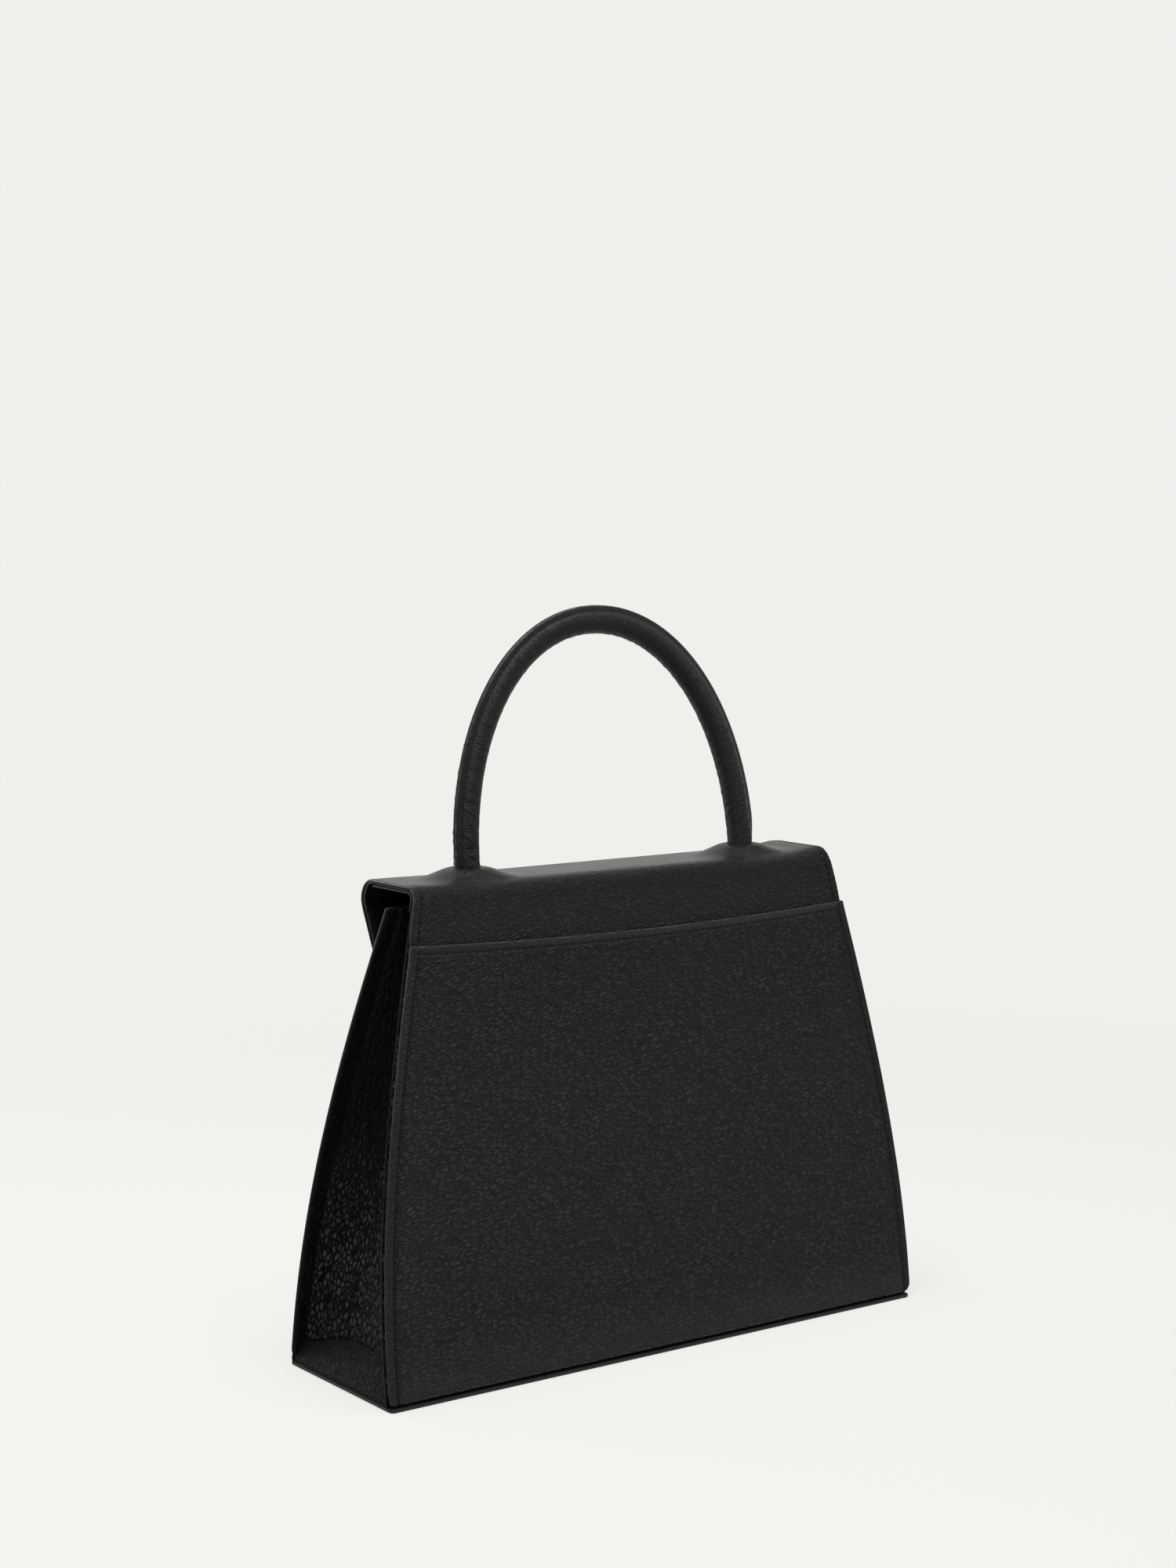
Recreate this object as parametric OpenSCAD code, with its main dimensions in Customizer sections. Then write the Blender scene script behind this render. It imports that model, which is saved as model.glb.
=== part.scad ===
// Structured top handle bag: laminated leather walls on a boarded base, a crown
// that carries the rolled handle, and a front flap that continues from the crown.
// X runs along the bag, the flap is at -Y, the slip pocket at +Y and Z is up.
// The origin is the centre of the base on the floor. All sizes are millimetres.

/* [Body] */
// Height from the floor to the top of the crown
body_h = 238; // [222:1:256]
// Width across the walls at the foot
foot_w = 320.4; // [300:0.2:345]
// Width across the walls at the crown
shoulder_w = 252; // [238:1:266]
// Outward bow of the side edges at half height
side_bow = 7.7; // [5:0.1:10]
// Depth across the walls at the foot
foot_depth = 93.4; // [86:0.2:104]
// Depth across the walls at the mouth, outer face to outer face
mouth_depth = 26.8; // [25:0.2:32]
// Height from the mouth edge up to the top of the crown
mouth_drop = 11.5; // [11:0.5:15]
// Lean of the rear wall away from upright, in degrees
rear_lean = 6.45; // [5.5:0.05:7.5]
// Radius of the lower corners of the walls
wall_corner_r = 5; // [3:0.5:8]

/* [Crown and flap] */
// Depth of the crown from its rear face to its front face
crown_depth = 51.6; // [49:0.2:57]
// Outer radius of the fold at the rear of the crown
fold_r = 8.5; // [7:0.5:10]
// Outer radius of the fold at the front of the crown
front_fold_r = 10.5; // [8.5:0.5:12]
// Height that the flap hangs below the top of the crown
flap_drop = 112; // [100:1:122]
// Height of the part of the flap that lies on the front wall
flap_lay = 60; // [50:1:68]
// Width of the flap at its lower edge
flap_tip_w = 232; // [215:1:238]
// Radius of the flap's lower corners
flap_corner_r = 18; // [12:1:26]

/* [Handle] */
// Distance between the centres of the handle's feet
handle_span = 169; // [158:1:182]
// Height from the crown to the middle of the tube at the apex
handle_rise = 121.2; // [108:0.2:132]
// Height that the crown leather is drawn up round each foot of the handle
tent_h = 4.6; // [3:0.2:6]
// Radius over which the crown leather is drawn up
tent_r = 12.5; // [10:0.5:12.5]
// Straight length of each leg above the drawn up leather
handle_leg = 0.6; // [0.4:0.2:8]
// Distance that the handle's feet stand behind the middle of the crown
handle_back = 3; // [0:0.5:3]
// Lean of the handle towards the flap, in degrees
handle_lean = 6; // [0:0.5:8]
// Diameter of the rolled tube
handle_d = 12.6; // [11:0.2:14]
// Width of the stitched fin outside the tube
fin_w = 1.8; // [1.4:0.2:3]
// Thickness of the stitched fin
fin_t = 2.8; // [2.2:0.2:3.4]

/* [Leather and boards] */
// Thickness of the wall, crown and flap leather
leather_t = 1.5; // [1.3:0.1:1.8]
// Thickness of the gusset leather
gusset_t = 1.2; // [1:0.1:1.4]
// Thickness of the lining and of the facing strips
lining_t = 0.8; // [0.6:0.1:1]
// Thickness of the stiffening boards in the walls, crown and flap
board_t = 1.2; // [1:0.1:1.5]
// Thickness of the base leather
base_t = 2; // [1.6:0.1:2.6]
// Thickness of the base board
base_board_t = 3; // [2:0.2:4]
// Width of the turned seam along the side edges
seam_w = 6; // [5:0.5:8]

/* [Pockets and magnets] */
// Height of the outer pocket's edge at the sides
pocket_h = 211.5; // [190:0.5:218]
// Dip of the pocket's edge at its middle
pocket_dip = 3.4; // [1:0.2:6]
// Width of the pocket inside the bag
inner_pocket_w = 170; // [130:2:190]
// Height of the pocket inside the bag
inner_pocket_h = 110; // [80:2:130]
// Diameter of the closing magnets
magnet_d = 18; // [14:1:24]

/* [Hidden] */

// Running clearance between pieces that move apart
run_clear = 0.3;
// Clearance between fitted pieces
fit_clear = 0.1;
// Height of the shadow gap under the walls
foot_gap = 1.2;
// Gap between the pocket panel and the wall behind it
pocket_gap = 0.4;
// Amount that the wall behind the pocket is narrower on each side
panel_step = 0.8;
// Amount that the base stands in from the walls
base_inset = 1.5;
// Radius of the base panel's corners
base_corner_r = 6;
// Side play between the base board and the gussets
base_board_inset = 10;
// Play between the base board and the walls
base_board_gap = 5;
// Amount that boards and linings stop short of the seams
board_inset = 2;
// Width of the leather facing strips at the mouth
facing_w = 24;
// Corner radius of the inner pocket
inner_pocket_r = 8;
// Height of the inner pocket's lower edge above the base lining
inner_pocket_up = 55;
// Inset of the gusset edge from the wall edge
gusset_edge = 0.4;
// Depth of the gusset fold at the foot
fold_foot = 5;
// Depth of the gusset fold at the mouth
fold_mouth = 25;
// Height of the sloping ledge at the gusset's foot for each unit of depth
ledge_slope = 1.2;
// Width of the gusset's lip on the base
lip_w = 1.6;
// Distance that the gusset stops below the mouth edge
gusset_drop = 1;
// Overrun of cuts
cut = 1;
// Length over which the flap bends to lie on the front wall
flap_bend = 12;
// Margin of the flap board inside the flap's edge
flap_margin = 5;
// Height of the magnets above the flap's lower edge
magnet_up = 18;
// Clearance of a hole round the handle's leg
hole_clear = 0.3;
// Thickness of the handle's leather
sleeve_t = 1.2;
// Wall thickness of the handle's core tube
core_t = 2.4;
// Width of the anchor plates
anchor_w = 26;
// Depth of the anchor plates
anchor_d = 20;
// Height of the anchors' studs above the drawn up leather
stud_l = 8;
// Play of the studs in the handle's core
stud_clear = 0.8;
// Height over which the fin grows out of the tube
fin_grow = 5;
// Share by which the sides bow more below half height than above
low_bow_share = 0.34;
// Fullness of the handle's arch: 2 is an ellipse and more is squarer
handle_fullness = 2.06;
// Power of the gusset fold's curve at the foot: 1 is a sharp crease and 2 a round one
fold_foot_power = 2;
// Power of the gusset fold's curve at the mouth
fold_mouth_power = 1.5;
// Power of the drawn up leather's hollow curve round the handle
tent_power = 2.2;

// Steps round a rounded corner
corner_steps = 6;
// Steps along a side edge
side_steps = 16;
// Steps along the pocket's dipping edge
top_steps = 16;
// Steps round a crown fold
fold_steps = 10;
// Steps along the flap's bend
bend_steps = 6;
// Steps across a gusset fold
gusset_steps = 14;
// Rows up a gusset above its ledge
gusset_rows = 11;
// Rows up the ledge at a gusset's foot
ledge_rows = 6;
// Steps up the drawn up leather
tent_steps = 6;
// Steps along the handle's arch
arch_steps = 34;
// Sides of the handle's tube
tube_sides = 16;
// Facets of a drawn circle
round_fn = 48;

// Levels and layers that follow from the sizes above
foot_z = base_t + foot_gap;
front_h = body_h - mouth_drop;
stack_t = leather_t + board_t + lining_t;
rear_panel_at = leather_t + pocket_gap;
rear_board_at = rear_panel_at + leather_t;
rear_lining_at = rear_board_at + board_t;
wall_z = base_t + run_clear + rear_lining_at * sin(rear_lean);
front_board_at = leather_t;
front_lining_at = front_board_at + board_t;
front_gusset_at = leather_t + run_clear;
gusset_stand = board_t + 2 * lining_t + 2 * run_clear;
gusset_top = front_h - gusset_drop;
lining_floor = base_t + base_board_t + lining_t + fit_clear;

// Place of the walls' outer faces at a height
function rear_y(z) = foot_depth / 2 - (z - foot_z) * tan(rear_lean);
front_top_y = rear_y(front_h) - mouth_depth;
front_lean = atan((front_top_y + foot_depth / 2) / (front_h - foot_z));
function front_y(z) = -foot_depth / 2 + (z - foot_z) * tan(front_lean);

// Half width of the walls at a height
function half_w(z) =
    let (t = z / body_h)
    foot_w / 2 + (shoulder_w - foot_w) / 2 * t
    + 4 * side_bow * t * (1 - t) * (1 + low_bow_share * (1 - 2 * t));

// Length along a leaning wall that reaches a height, and the reverse
function along(z, lean) = (z - foot_z) / cos(lean);
function reach(v, lean) = foot_z + v * cos(lean);

// Centres of the two crown folds in the YZ plane
rear_fold_z = body_h - fold_r;
rear_fold_y = rear_y(rear_fold_z) - (rear_panel_at + fold_r) / cos(rear_lean);
front_fold_z = body_h - front_fold_r;
front_fold_y = rear_fold_y + fold_r + front_fold_r - crown_depth;
handle_y = (rear_fold_y + front_fold_y) / 2 + handle_back;

// Height on the rear wall at which the crown fold begins
rear_top_z = reach(-(rear_fold_y + fold_r * cos(rear_lean) - foot_depth / 2) * sin(rear_lean)
                   + (rear_fold_z + fold_r * sin(rear_lean) - foot_z) * cos(rear_lean), rear_lean);

// The flap leaves its fold on the tangent that meets the front wall's outer face
flap_tip_z = body_h - flap_drop;
touch_z = flap_tip_z + flap_lay;
flap_off = (stack_t + run_clear) / cos(front_lean);
touch_y = front_y(touch_z) - flap_off;
touch_span = norm([touch_y - front_fold_y, touch_z - front_fold_z]);
touch_dir = atan2(touch_z - front_fold_z, touch_y - front_fold_y) + 360;
flap_end_a = touch_dir - acos(front_fold_r / touch_span);
flap_dir = flap_end_a + 90;
magnet_z = flap_tip_z + magnet_up;

// Side edge of a wall as [half width, height] points, with a rounded lower corner
function side_run(z0, z1, inset, r) = concat(
    [for (i = [0 : corner_steps])
        let (a = 90 * i / corner_steps, z = z0 + r * (1 - cos(a)))
        [half_w(z) - inset - r * (1 - sin(a)), z]],
    [for (i = [1 : side_steps])
        let (z = z0 + r + (z1 - z0 - r) * i / side_steps)
        [half_w(z) - inset, z]]);

// Flat outline of a wall layer in its own leaning plane
module wall_outline(z0, z1, inset, r, lean, dip = 0) {
    run = side_run(z0, z1, inset, r);
    last = len(run) - 1;
    x1 = run[last].x;
    top = [for (i = [1 : top_steps - 1])
        let (x = x1 * (1 - 2 * i / top_steps))
        [x, along(z1 - dip * (1 - pow(x / x1, 2)), lean)]];
    polygon(concat([for (p = run) [p.x, along(p.y, lean)]],
                   dip > 0 ? top : [],
                   [for (i = [last : -1 : 0]) [-run[i].x, along(run[i].y, lean)]]));
}

// Stands a flat outline up as a layer of the rear wall, at a depth from its outer face
module rear_layer(at, t) {
    translate([0, foot_depth / 2, foot_z])
        rotate([90 + rear_lean, 0, 0])
            translate([0, 0, at])
                linear_extrude(t)
                    children();
}

// Stands a flat outline up as a layer of the front wall, at a depth from its outer face
module front_layer(at, t) {
    mirror([0, 1, 0])
        translate([0, foot_depth / 2, foot_z])
            rotate([90 + front_lean, 0, 0])
                translate([0, 0, at])
                    linear_extrude(t)
                        children();
}

// Rear wall: pocket panel, wall leather, board, lining and the strip at the mouth
module pocket_panel() {
    color([0.1, 0.1, 0.1])
        rear_layer(0, leather_t)
            wall_outline(foot_z, pocket_h, 0, wall_corner_r, rear_lean, pocket_dip);
}

module rear_panel() {
    color([0.11, 0.11, 0.11])
        rear_layer(rear_panel_at, leather_t)
            wall_outline(wall_z, rear_top_z, panel_step, wall_corner_r, rear_lean);
}

module rear_board() {
    color([0.45, 0.4, 0.33])
        rear_layer(rear_board_at, board_t)
            wall_outline(wall_z, rear_top_z, seam_w + board_inset, wall_corner_r, rear_lean);
}

module rear_lining() {
    color([0.2, 0.18, 0.17])
        rear_layer(rear_lining_at, lining_t)
            wall_outline(lining_floor, rear_top_z - facing_w - fit_clear, seam_w + board_inset,
                         wall_corner_r, rear_lean);
}

// Leather strip that finishes the lining along the mouth
module facing_outline(z1, lean) {
    intersection() {
        wall_outline(wall_z, z1, seam_w + board_inset, wall_corner_r, lean);
        translate([-foot_w / 2, along(z1 - facing_w, lean)])
            square([foot_w, facing_w / cos(lean) + cut]);
    }
}

module rear_facing() {
    color([0.11, 0.11, 0.11])
        rear_layer(rear_lining_at, lining_t)
            facing_outline(rear_top_z, rear_lean);
}

// Rectangle that stands on its lower edge and has round lower corners
module pocket_outline(w, h, r) {
    for (s = [-1, 1])
        translate([s * (w / 2 - r), r])
            circle(r, $fn = round_fn);
    translate([-w / 2 + r, 0])
        square([w - 2 * r, r]);
    translate([-w / 2, r])
        square([w, h - r]);
}

// Flat pocket sewn to the lining
module inner_pocket() {
    color([0.2, 0.18, 0.17])
        rear_layer(rear_lining_at + lining_t, lining_t)
            translate([0, along(lining_floor + inner_pocket_up, rear_lean)])
                pocket_outline(inner_pocket_w, inner_pocket_h, inner_pocket_r);
}

// Points of an arc in the YZ plane
function arc(y, z, r, a0, a1, n) =
    [for (i = [0 : n]) let (a = a0 + (a1 - a0) * i / n) [y + r * cos(a), z + r * sin(a)]];

// Extrudes a YZ profile along X, centred
module along_x(w) {
    translate([-w / 2, 0, 0])
        rotate([90, 0, 90])
            linear_extrude(w)
                children();
}

// Laminated strip of the crown's width that bends round a fold
module crown_fold(y, z, r, a0, a1) {
    along_x(shoulder_w - 2 * panel_step)
        polygon(concat(arc(y, z, r, a0, a1, fold_steps),
                       arc(y, z, r - stack_t, a1, a0, fold_steps)));
}

module rear_fold() {
    color([0.12, 0.12, 0.12])
        crown_fold(rear_fold_y, rear_fold_z, fold_r, rear_lean, 90);
}

module front_fold() {
    color([0.12, 0.12, 0.12])
        crown_fold(front_fold_y, front_fold_z, front_fold_r, 90, flap_end_a);
}

// Middle line of a gusset at a height, from the front wall's edge to the rear wall's edge
function front_flange_y(z) = front_y(z) + (front_gusset_at + gusset_t / 2) / cos(front_lean);
function rear_flange_y(z) = rear_y(z) - (rear_board_at + gusset_t / 2) / cos(rear_lean);
function height_share(z) = (z - base_t) / (gusset_top - base_t);
function ledge_x(z) = half_w(z) - gusset_edge - lip_w - (z - base_t) / ledge_slope;
function fold_x(z, u) =
    let (s = height_share(z),
         d = fold_foot + (fold_mouth - fold_foot) * s,
         q = fold_foot_power + (fold_mouth_power - fold_foot_power) * s)
    half_w(z) - seam_w - d * (1 - pow(abs(2 * u - 1), q));
function fold_pt(z, u) =
    let (y0 = front_flange_y(z) + gusset_stand, y1 = rear_flange_y(z) - gusset_stand)
    [max(ledge_x(z), fold_x(z, u)), y0 + (y1 - y0) * u];
function flange_pts(z, y) =
    [[half_w(z) - gusset_edge, y], [max(ledge_x(z), half_w(z) - seam_w), y]];
function fold_pts(z) = [for (i = [0 : gusset_steps]) fold_pt(z, i / gusset_steps)];
function gusset_pts(z) =
    let (front = flange_pts(z, front_flange_y(z)), rear = flange_pts(z, rear_flange_y(z)))
    concat(front, fold_pts(z), [rear[1], rear[0]]);
flange_count = 2;

// A line of points moved sideways, to the left of its own direction
function shifted(pts, d) =
    [for (i = [0 : len(pts) - 1])
        let (a = pts[max(i - 1, 0)], b = pts[min(i + 1, len(pts) - 1)], n = norm(b - a))
        pts[i] + d * [-(b.y - a.y), b.x - a.x] / n];

// Closed ring round a line of points, between two sideways distances, that leaves out
// some points at each end
function ring(pts, d0, d1, skip = 0) =
    let (a = shifted(pts, d0), b = shifted(pts, d1), last = len(pts) - 1 - skip)
    concat([for (i = [skip : last]) a[i]], [for (i = [last : -1 : skip]) b[i]]);

// Skin through rings of equally many points, closed at both ends across the sheet. Both
// sides of the sheet are split along the same diagonals, so its thickness stays even.
module loft(rings) {
    n = len(rings[0]);
    m = len(rings);
    e = (m - 1) * n;
    pts = [for (r = rings) each r];
    sides = [for (j = [0 : m - 2], i = [0 : n - 1])
        let (a = j * n + i, b = j * n + (i + 1) % n, c = b + n, d = a + n)
        each i < n / 2 ? [[a, c, b], [a, d, c]] : [[a, d, b], [b, d, c]]];
    caps = [for (i = [0 : n / 2 - 2])
        let (j = n - 1 - i)
        each [[i, i + 1, j - 1], [i, j - 1, j],
              [e + i, e + j - 1, e + i + 1], [e + i, e + j, e + j - 1]]];
    polyhedron(points = pts, faces = concat(sides, caps));
}

// Heights of the gusset's rows: close together at the ledge, then even to the top
ledge_top = base_t + ledge_slope * (seam_w + fold_foot);
function rows_between(z0, z1, n) = [for (i = [0 : n - 1]) z0 + (z1 - z0) * i / n];
gusset_zs = concat(rows_between(base_t, ledge_top, ledge_rows),
                   rows_between(ledge_top, gusset_top, gusset_rows), [gusset_top]);

module gusset() {
    loft([for (z = gusset_zs) [for (p = ring(gusset_pts(z), -gusset_t / 2, gusset_t / 2))
        [p.x, p.y, z]]]);
}

module gusset_left() {
    color([0.09, 0.09, 0.09])
        gusset();
}

module gusset_right() {
    color([0.09, 0.09, 0.09])
        mirror([1, 0, 0])
            gusset();
}

// Lining of the gusset fold, a little inside the leather
lining_zs = concat([for (z = gusset_zs) if (z > lining_floor && z < gusset_top - gusset_drop) z],
                   [gusset_top - gusset_drop]);

module gusset_lining() {
    near = gusset_t / 2 + fit_clear;
    loft([for (z = lining_zs) [for (p = ring(gusset_pts(z), near, near + lining_t, flange_count))
        [p.x, p.y, z]]]);
}

module gusset_lining_left() {
    color([0.2, 0.18, 0.17])
        gusset_lining();
}

module gusset_lining_right() {
    color([0.2, 0.18, 0.17])
        mirror([1, 0, 0])
            gusset_lining();
}

// Flat plate with rounded corners, lying on a level
module base_plate(half_x, half_y, r, z, t) {
    translate([0, 0, z])
        linear_extrude(t) {
            for (sx = [-1, 1], sy = [-1, 1])
                translate([sx * (half_x - r), sy * (half_y - r)])
                    circle(r, $fn = round_fn);
            square([2 * half_x, 2 * (half_y - r)], center = true);
            square([2 * (half_x - r), 2 * half_y], center = true);
        }
}

module base_panel() {
    color([0.09, 0.09, 0.09])
        base_plate(foot_w / 2 - base_inset, foot_depth / 2 - base_inset, base_corner_r, 0, base_t);
}

module base_board() {
    color([0.45, 0.4, 0.33])
        base_plate(foot_w / 2 - base_board_inset, foot_depth / 2 - base_board_gap, base_corner_r,
                   base_t, base_board_t);
}

module base_lining() {
    color([0.2, 0.18, 0.17])
        base_plate(foot_w / 2 - base_board_inset, foot_depth / 2 - base_board_gap - lining_t,
                   base_corner_r, base_t + base_board_t, lining_t);
}

// Front wall, which leans out on its foot seam when the mouth is opened
module front_panel() {
    color([0.1, 0.1, 0.1])
        front_layer(0, leather_t)
            wall_outline(foot_z, front_h, 0, wall_corner_r, front_lean);
}

// Place of the closing magnet on the front wall and of its partner on the flap
module magnet_disc(at, t, clear = 0) {
    front_layer(at, t)
        translate([0, along(magnet_z, front_lean)])
            circle(magnet_d / 2 + clear, $fn = round_fn);
}

module front_board() {
    color([0.45, 0.4, 0.33])
        difference() {
            front_layer(front_board_at, board_t)
                wall_outline(foot_z, front_h, seam_w + board_inset, wall_corner_r, front_lean);
            magnet_disc(front_board_at - cut, board_t + 2 * cut, fit_clear);
        }
}

module front_lining() {
    color([0.2, 0.18, 0.17])
        front_layer(front_lining_at, lining_t)
            wall_outline(lining_floor, front_h - facing_w - fit_clear, seam_w + board_inset,
                         wall_corner_r, front_lean);
}

module front_facing() {
    color([0.11, 0.11, 0.11])
        front_layer(front_lining_at, lining_t)
            facing_outline(front_h, front_lean);
}

module front_magnet() {
    color([0.6, 0.6, 0.62])
        magnet_disc(front_board_at, board_t);
}

// Flat part of the crown, as a layer at a depth below its top face
module crown_layer(at, t) {
    half = shoulder_w / 2 - panel_step;
    y0 = front_fold_y + run_clear;
    y1 = rear_fold_y - run_clear;
    translate([-half, y0, body_h - at - t])
        cube([2 * half, y1 - y0, t]);
}

// Hollow cone of leather drawn up round a foot of the handle
leg_bore_r = handle_d / 2 + hole_clear;
tent_top_r = leg_bore_r + leather_t;
module leather_tent() {
    flare = [for (i = [0 : tent_steps])
        let (t = i / tent_steps)
        [tent_top_r + (tent_r - tent_top_r) * pow(1 - t, tent_power), tent_h * t]];
    rotate_extrude($fn = round_fn)
        polygon(concat([[0, -leather_t / 2], [tent_r, -leather_t / 2]], flare, [[0, tent_h]]));
}

module crown_panel() {
    color([0.13, 0.13, 0.13])
        difference() {
            union() {
                crown_layer(0, leather_t);
                for (s = [-1, 1])
                    translate([s * handle_span / 2, handle_y, body_h])
                        leather_tent();
            }
            for (s = [-1, 1])
                translate([s * handle_span / 2, handle_y, body_h - stack_t])
                    cylinder(r = leg_bore_r, h = stack_t + tent_h + cut, $fn = round_fn);
        }
}

module crown_board() {
    color([0.45, 0.4, 0.33])
        difference() {
            crown_layer(leather_t, board_t);
            for (s = [-1, 1])
                translate([s * handle_span / 2 - anchor_w / 2 - fit_clear,
                           handle_y - anchor_d / 2 - fit_clear,
                           body_h - leather_t - board_t - cut])
                    cube([anchor_w + 2 * fit_clear, anchor_d + 2 * fit_clear, board_t + 2 * cut]);
        }
}

module crown_lining() {
    color([0.11, 0.11, 0.11])
        crown_layer(leather_t + board_t, lining_t);
}

// Steel plates in the crown board, each with a stud that leans up into the handle's core
module handle_anchors() {
    stud_foot = tent_top - foot_level + board_t / 2;
    color([0.6, 0.6, 0.62])
        for (s = [-1, 1])
            translate([s * handle_span / 2, handle_y, 0]) {
                translate([-anchor_w / 2, -anchor_d / 2, foot_level - board_t])
                    cube([anchor_w, anchor_d, board_t]);
                translate([0, 0, tent_top])
                    rotate([handle_lean, 0, 0])
                        translate([0, 0, -stud_foot])
                            cylinder(r = core_bore_r - stud_clear, h = stud_foot + stud_l,
                                     $fn = round_fn);
            }
}

// Arch of the handle as [x, z] points: straight legs, then a superellipse
tent_top = body_h + tent_h;
arch_z = tent_top + handle_leg;
arch_rise = handle_rise - tent_h - handle_leg;
foot_level = body_h - leather_t;
function arch_pt(a) =
    [handle_span / 2 * sign(cos(a)) * pow(abs(cos(a)), 2 / handle_fullness),
     arch_z + arch_rise * pow(sin(a), 2 / handle_fullness)];
arch = concat([[handle_span / 2, foot_level], [handle_span / 2, tent_top]],
              [for (i = [0 : arch_steps]) arch_pt(180 * i / arch_steps)],
              [[-handle_span / 2, tent_top], [-handle_span / 2, foot_level]]);

// Unit direction across the arch, pointing away from its middle, at a point of it
function arch_out(i) =
    let (a = arch[max(i - 1, 0)], b = arch[min(i + 1, len(arch) - 1)], d = (b - a) / norm(b - a))
    [d.y, -d.x];

// Section of the tube as [outward, sideways] points, with or without its fin
function tube_section(r, fin) =
    let (a0 = asin(fin_t / 2 / (handle_d / 2)))
    concat([[r + fin, -r * sin(a0)], [r + fin, r * sin(a0)]],
           [for (i = [0 : tube_sides - 3])
               let (a = a0 + (360 - 2 * a0) * i / (tube_sides - 3))
               [r * cos(a), r * sin(a)]]);

// Share of the fin's width that stands at a height
function fin_share(z) = min(1, max(0, (z - tent_top) / fin_grow));

// Place of the handle's middle along Y, which leans towards the flap above the tents
function arch_y(z) = handle_y - max(0, z - tent_top) * tan(handle_lean);

// One ring of a tube that follows the arch
function arch_ring(i, r, fin) =
    let (p = arch[i], o = arch_out(i), f = fin * fin_share(p.y))
    [for (q = tube_section(r, f)) [p.x + q.x * o.x, arch_y(p.y) + q.y, p.y + q.x * o.y]];

// Hollow tube along the arch, between an outer and an inner radius
module arch_tube(r_out, r_in, fin) {
    n = tube_sides;
    m = len(arch);
    outer = [for (i = [0 : m - 1]) each arch_ring(i, r_out, fin)];
    inner = [for (i = [0 : m - 1]) each arch_ring(i, r_in, 0)];
    k = n * m;
    skin = [for (j = [0 : m - 2], i = [0 : n - 1])
        let (a = j * n + i, b = j * n + (i + 1) % n, c = b + n, d = a + n)
        each [[a, b, c], [a, c, d], [k + a, k + c, k + b], [k + a, k + d, k + c]]];
    e = (m - 1) * n;
    ends = [for (i = [0 : n - 1])
        let (j = (i + 1) % n)
        each [[i, k + j, j], [i, k + i, k + j],
              [e + i, e + j, k + e + j], [e + i, k + e + j, k + e + i]]];
    polyhedron(points = concat(outer, inner), faces = concat(skin, ends));
}

sleeve_in_r = handle_d / 2 - sleeve_t;
core_out_r = sleeve_in_r - fit_clear;
core_bore_r = core_out_r - core_t;

module handle_cover() {
    color([0.12, 0.12, 0.12])
        arch_tube(handle_d / 2, sleeve_in_r, fin_w);
}

module handle_core() {
    color([0.85, 0.83, 0.78])
        arch_tube(core_out_r, core_bore_r, 0);
}

// Outer line of the flap in the YZ plane, from its fold down to its lower edge
flap_start = [front_fold_y + front_fold_r * cos(flap_end_a),
              front_fold_z + front_fold_r * sin(flap_end_a)];
touch_pt = [touch_y, touch_z];
down_dir = [-sin(front_lean), -cos(front_lean)];
bend_from = touch_pt - flap_bend * [cos(flap_dir), sin(flap_dir)];
bend_to = touch_pt + flap_bend * down_dir;
function bend_pt(t) =
    pow(1 - t, 2) * bend_from + 2 * t * (1 - t) * touch_pt + pow(t, 2) * bend_to;
function flap_line(z_end) = concat(
    [flap_start + fit_clear * [cos(flap_dir), sin(flap_dir)]],
    [for (i = [0 : bend_steps]) bend_pt(i / bend_steps)],
    [[front_y(z_end) - flap_off, z_end]]);

// Layer of the flap, as a bent sheet cut to the flap's front outline
module flap_layer(at, t, margin) {
    line = flap_line(flap_tip_z - cut);
    intersection() {
        along_x(foot_w)
            polygon(ring(line, at, at + t));
        translate([0, front_fold_y + foot_depth, 0])
            rotate([90, 0, 0])
                linear_extrude(2 * foot_depth)
                    flap_outline(margin);
    }
}

// Front outline of the flap: sides that draw in towards round lower corners
module flap_outline(margin) {
    top_x = shoulder_w / 2 - panel_step - margin;
    tip_x = flap_tip_w / 2 - margin;
    z0 = flap_tip_z + margin;
    r = flap_corner_r - margin;
    slant = atan((top_x - tip_x) / (body_h - z0));
    cx = tip_x - r * (1 / cos(slant) - tan(slant));
    right = concat([for (i = [0 : corner_steps])
                       let (a = -90 + (90 - slant) * i / corner_steps)
                       [cx + r * cos(a), z0 + r + r * sin(a)]],
                   [[top_x, body_h]]);
    polygon(concat(right, [for (i = [len(right) - 1 : -1 : 0]) [-right[i].x, right[i].y]]));
}

module flap_panel() {
    color([0.1, 0.1, 0.1])
        flap_layer(0, leather_t, 0);
}

module flap_board() {
    color([0.45, 0.4, 0.33])
        difference() {
            flap_layer(leather_t, board_t, flap_margin);
            magnet_disc(-run_clear - lining_t - board_t - cut, board_t + 2 * cut, fit_clear);
        }
}

module flap_lining() {
    color([0.11, 0.11, 0.11])
        flap_layer(leather_t + board_t, lining_t, 0);
}

module flap_magnet() {
    color([0.6, 0.6, 0.62])
        magnet_disc(-run_clear - lining_t - board_t, board_t);
}

rear_panel();
pocket_panel();
rear_board();
rear_lining();
rear_facing();
inner_pocket();
rear_fold();
gusset_left();
gusset_right();
gusset_lining_left();
gusset_lining_right();
base_panel();
base_board();
base_lining();
front_panel();
front_board();
front_lining();
front_facing();
front_magnet();
crown_panel();
crown_board();
crown_lining();
handle_cover();
handle_core();
handle_anchors();
front_fold();
flap_panel();
flap_board();
flap_lining();
flap_magnet();
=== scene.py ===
import functools
import math

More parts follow.
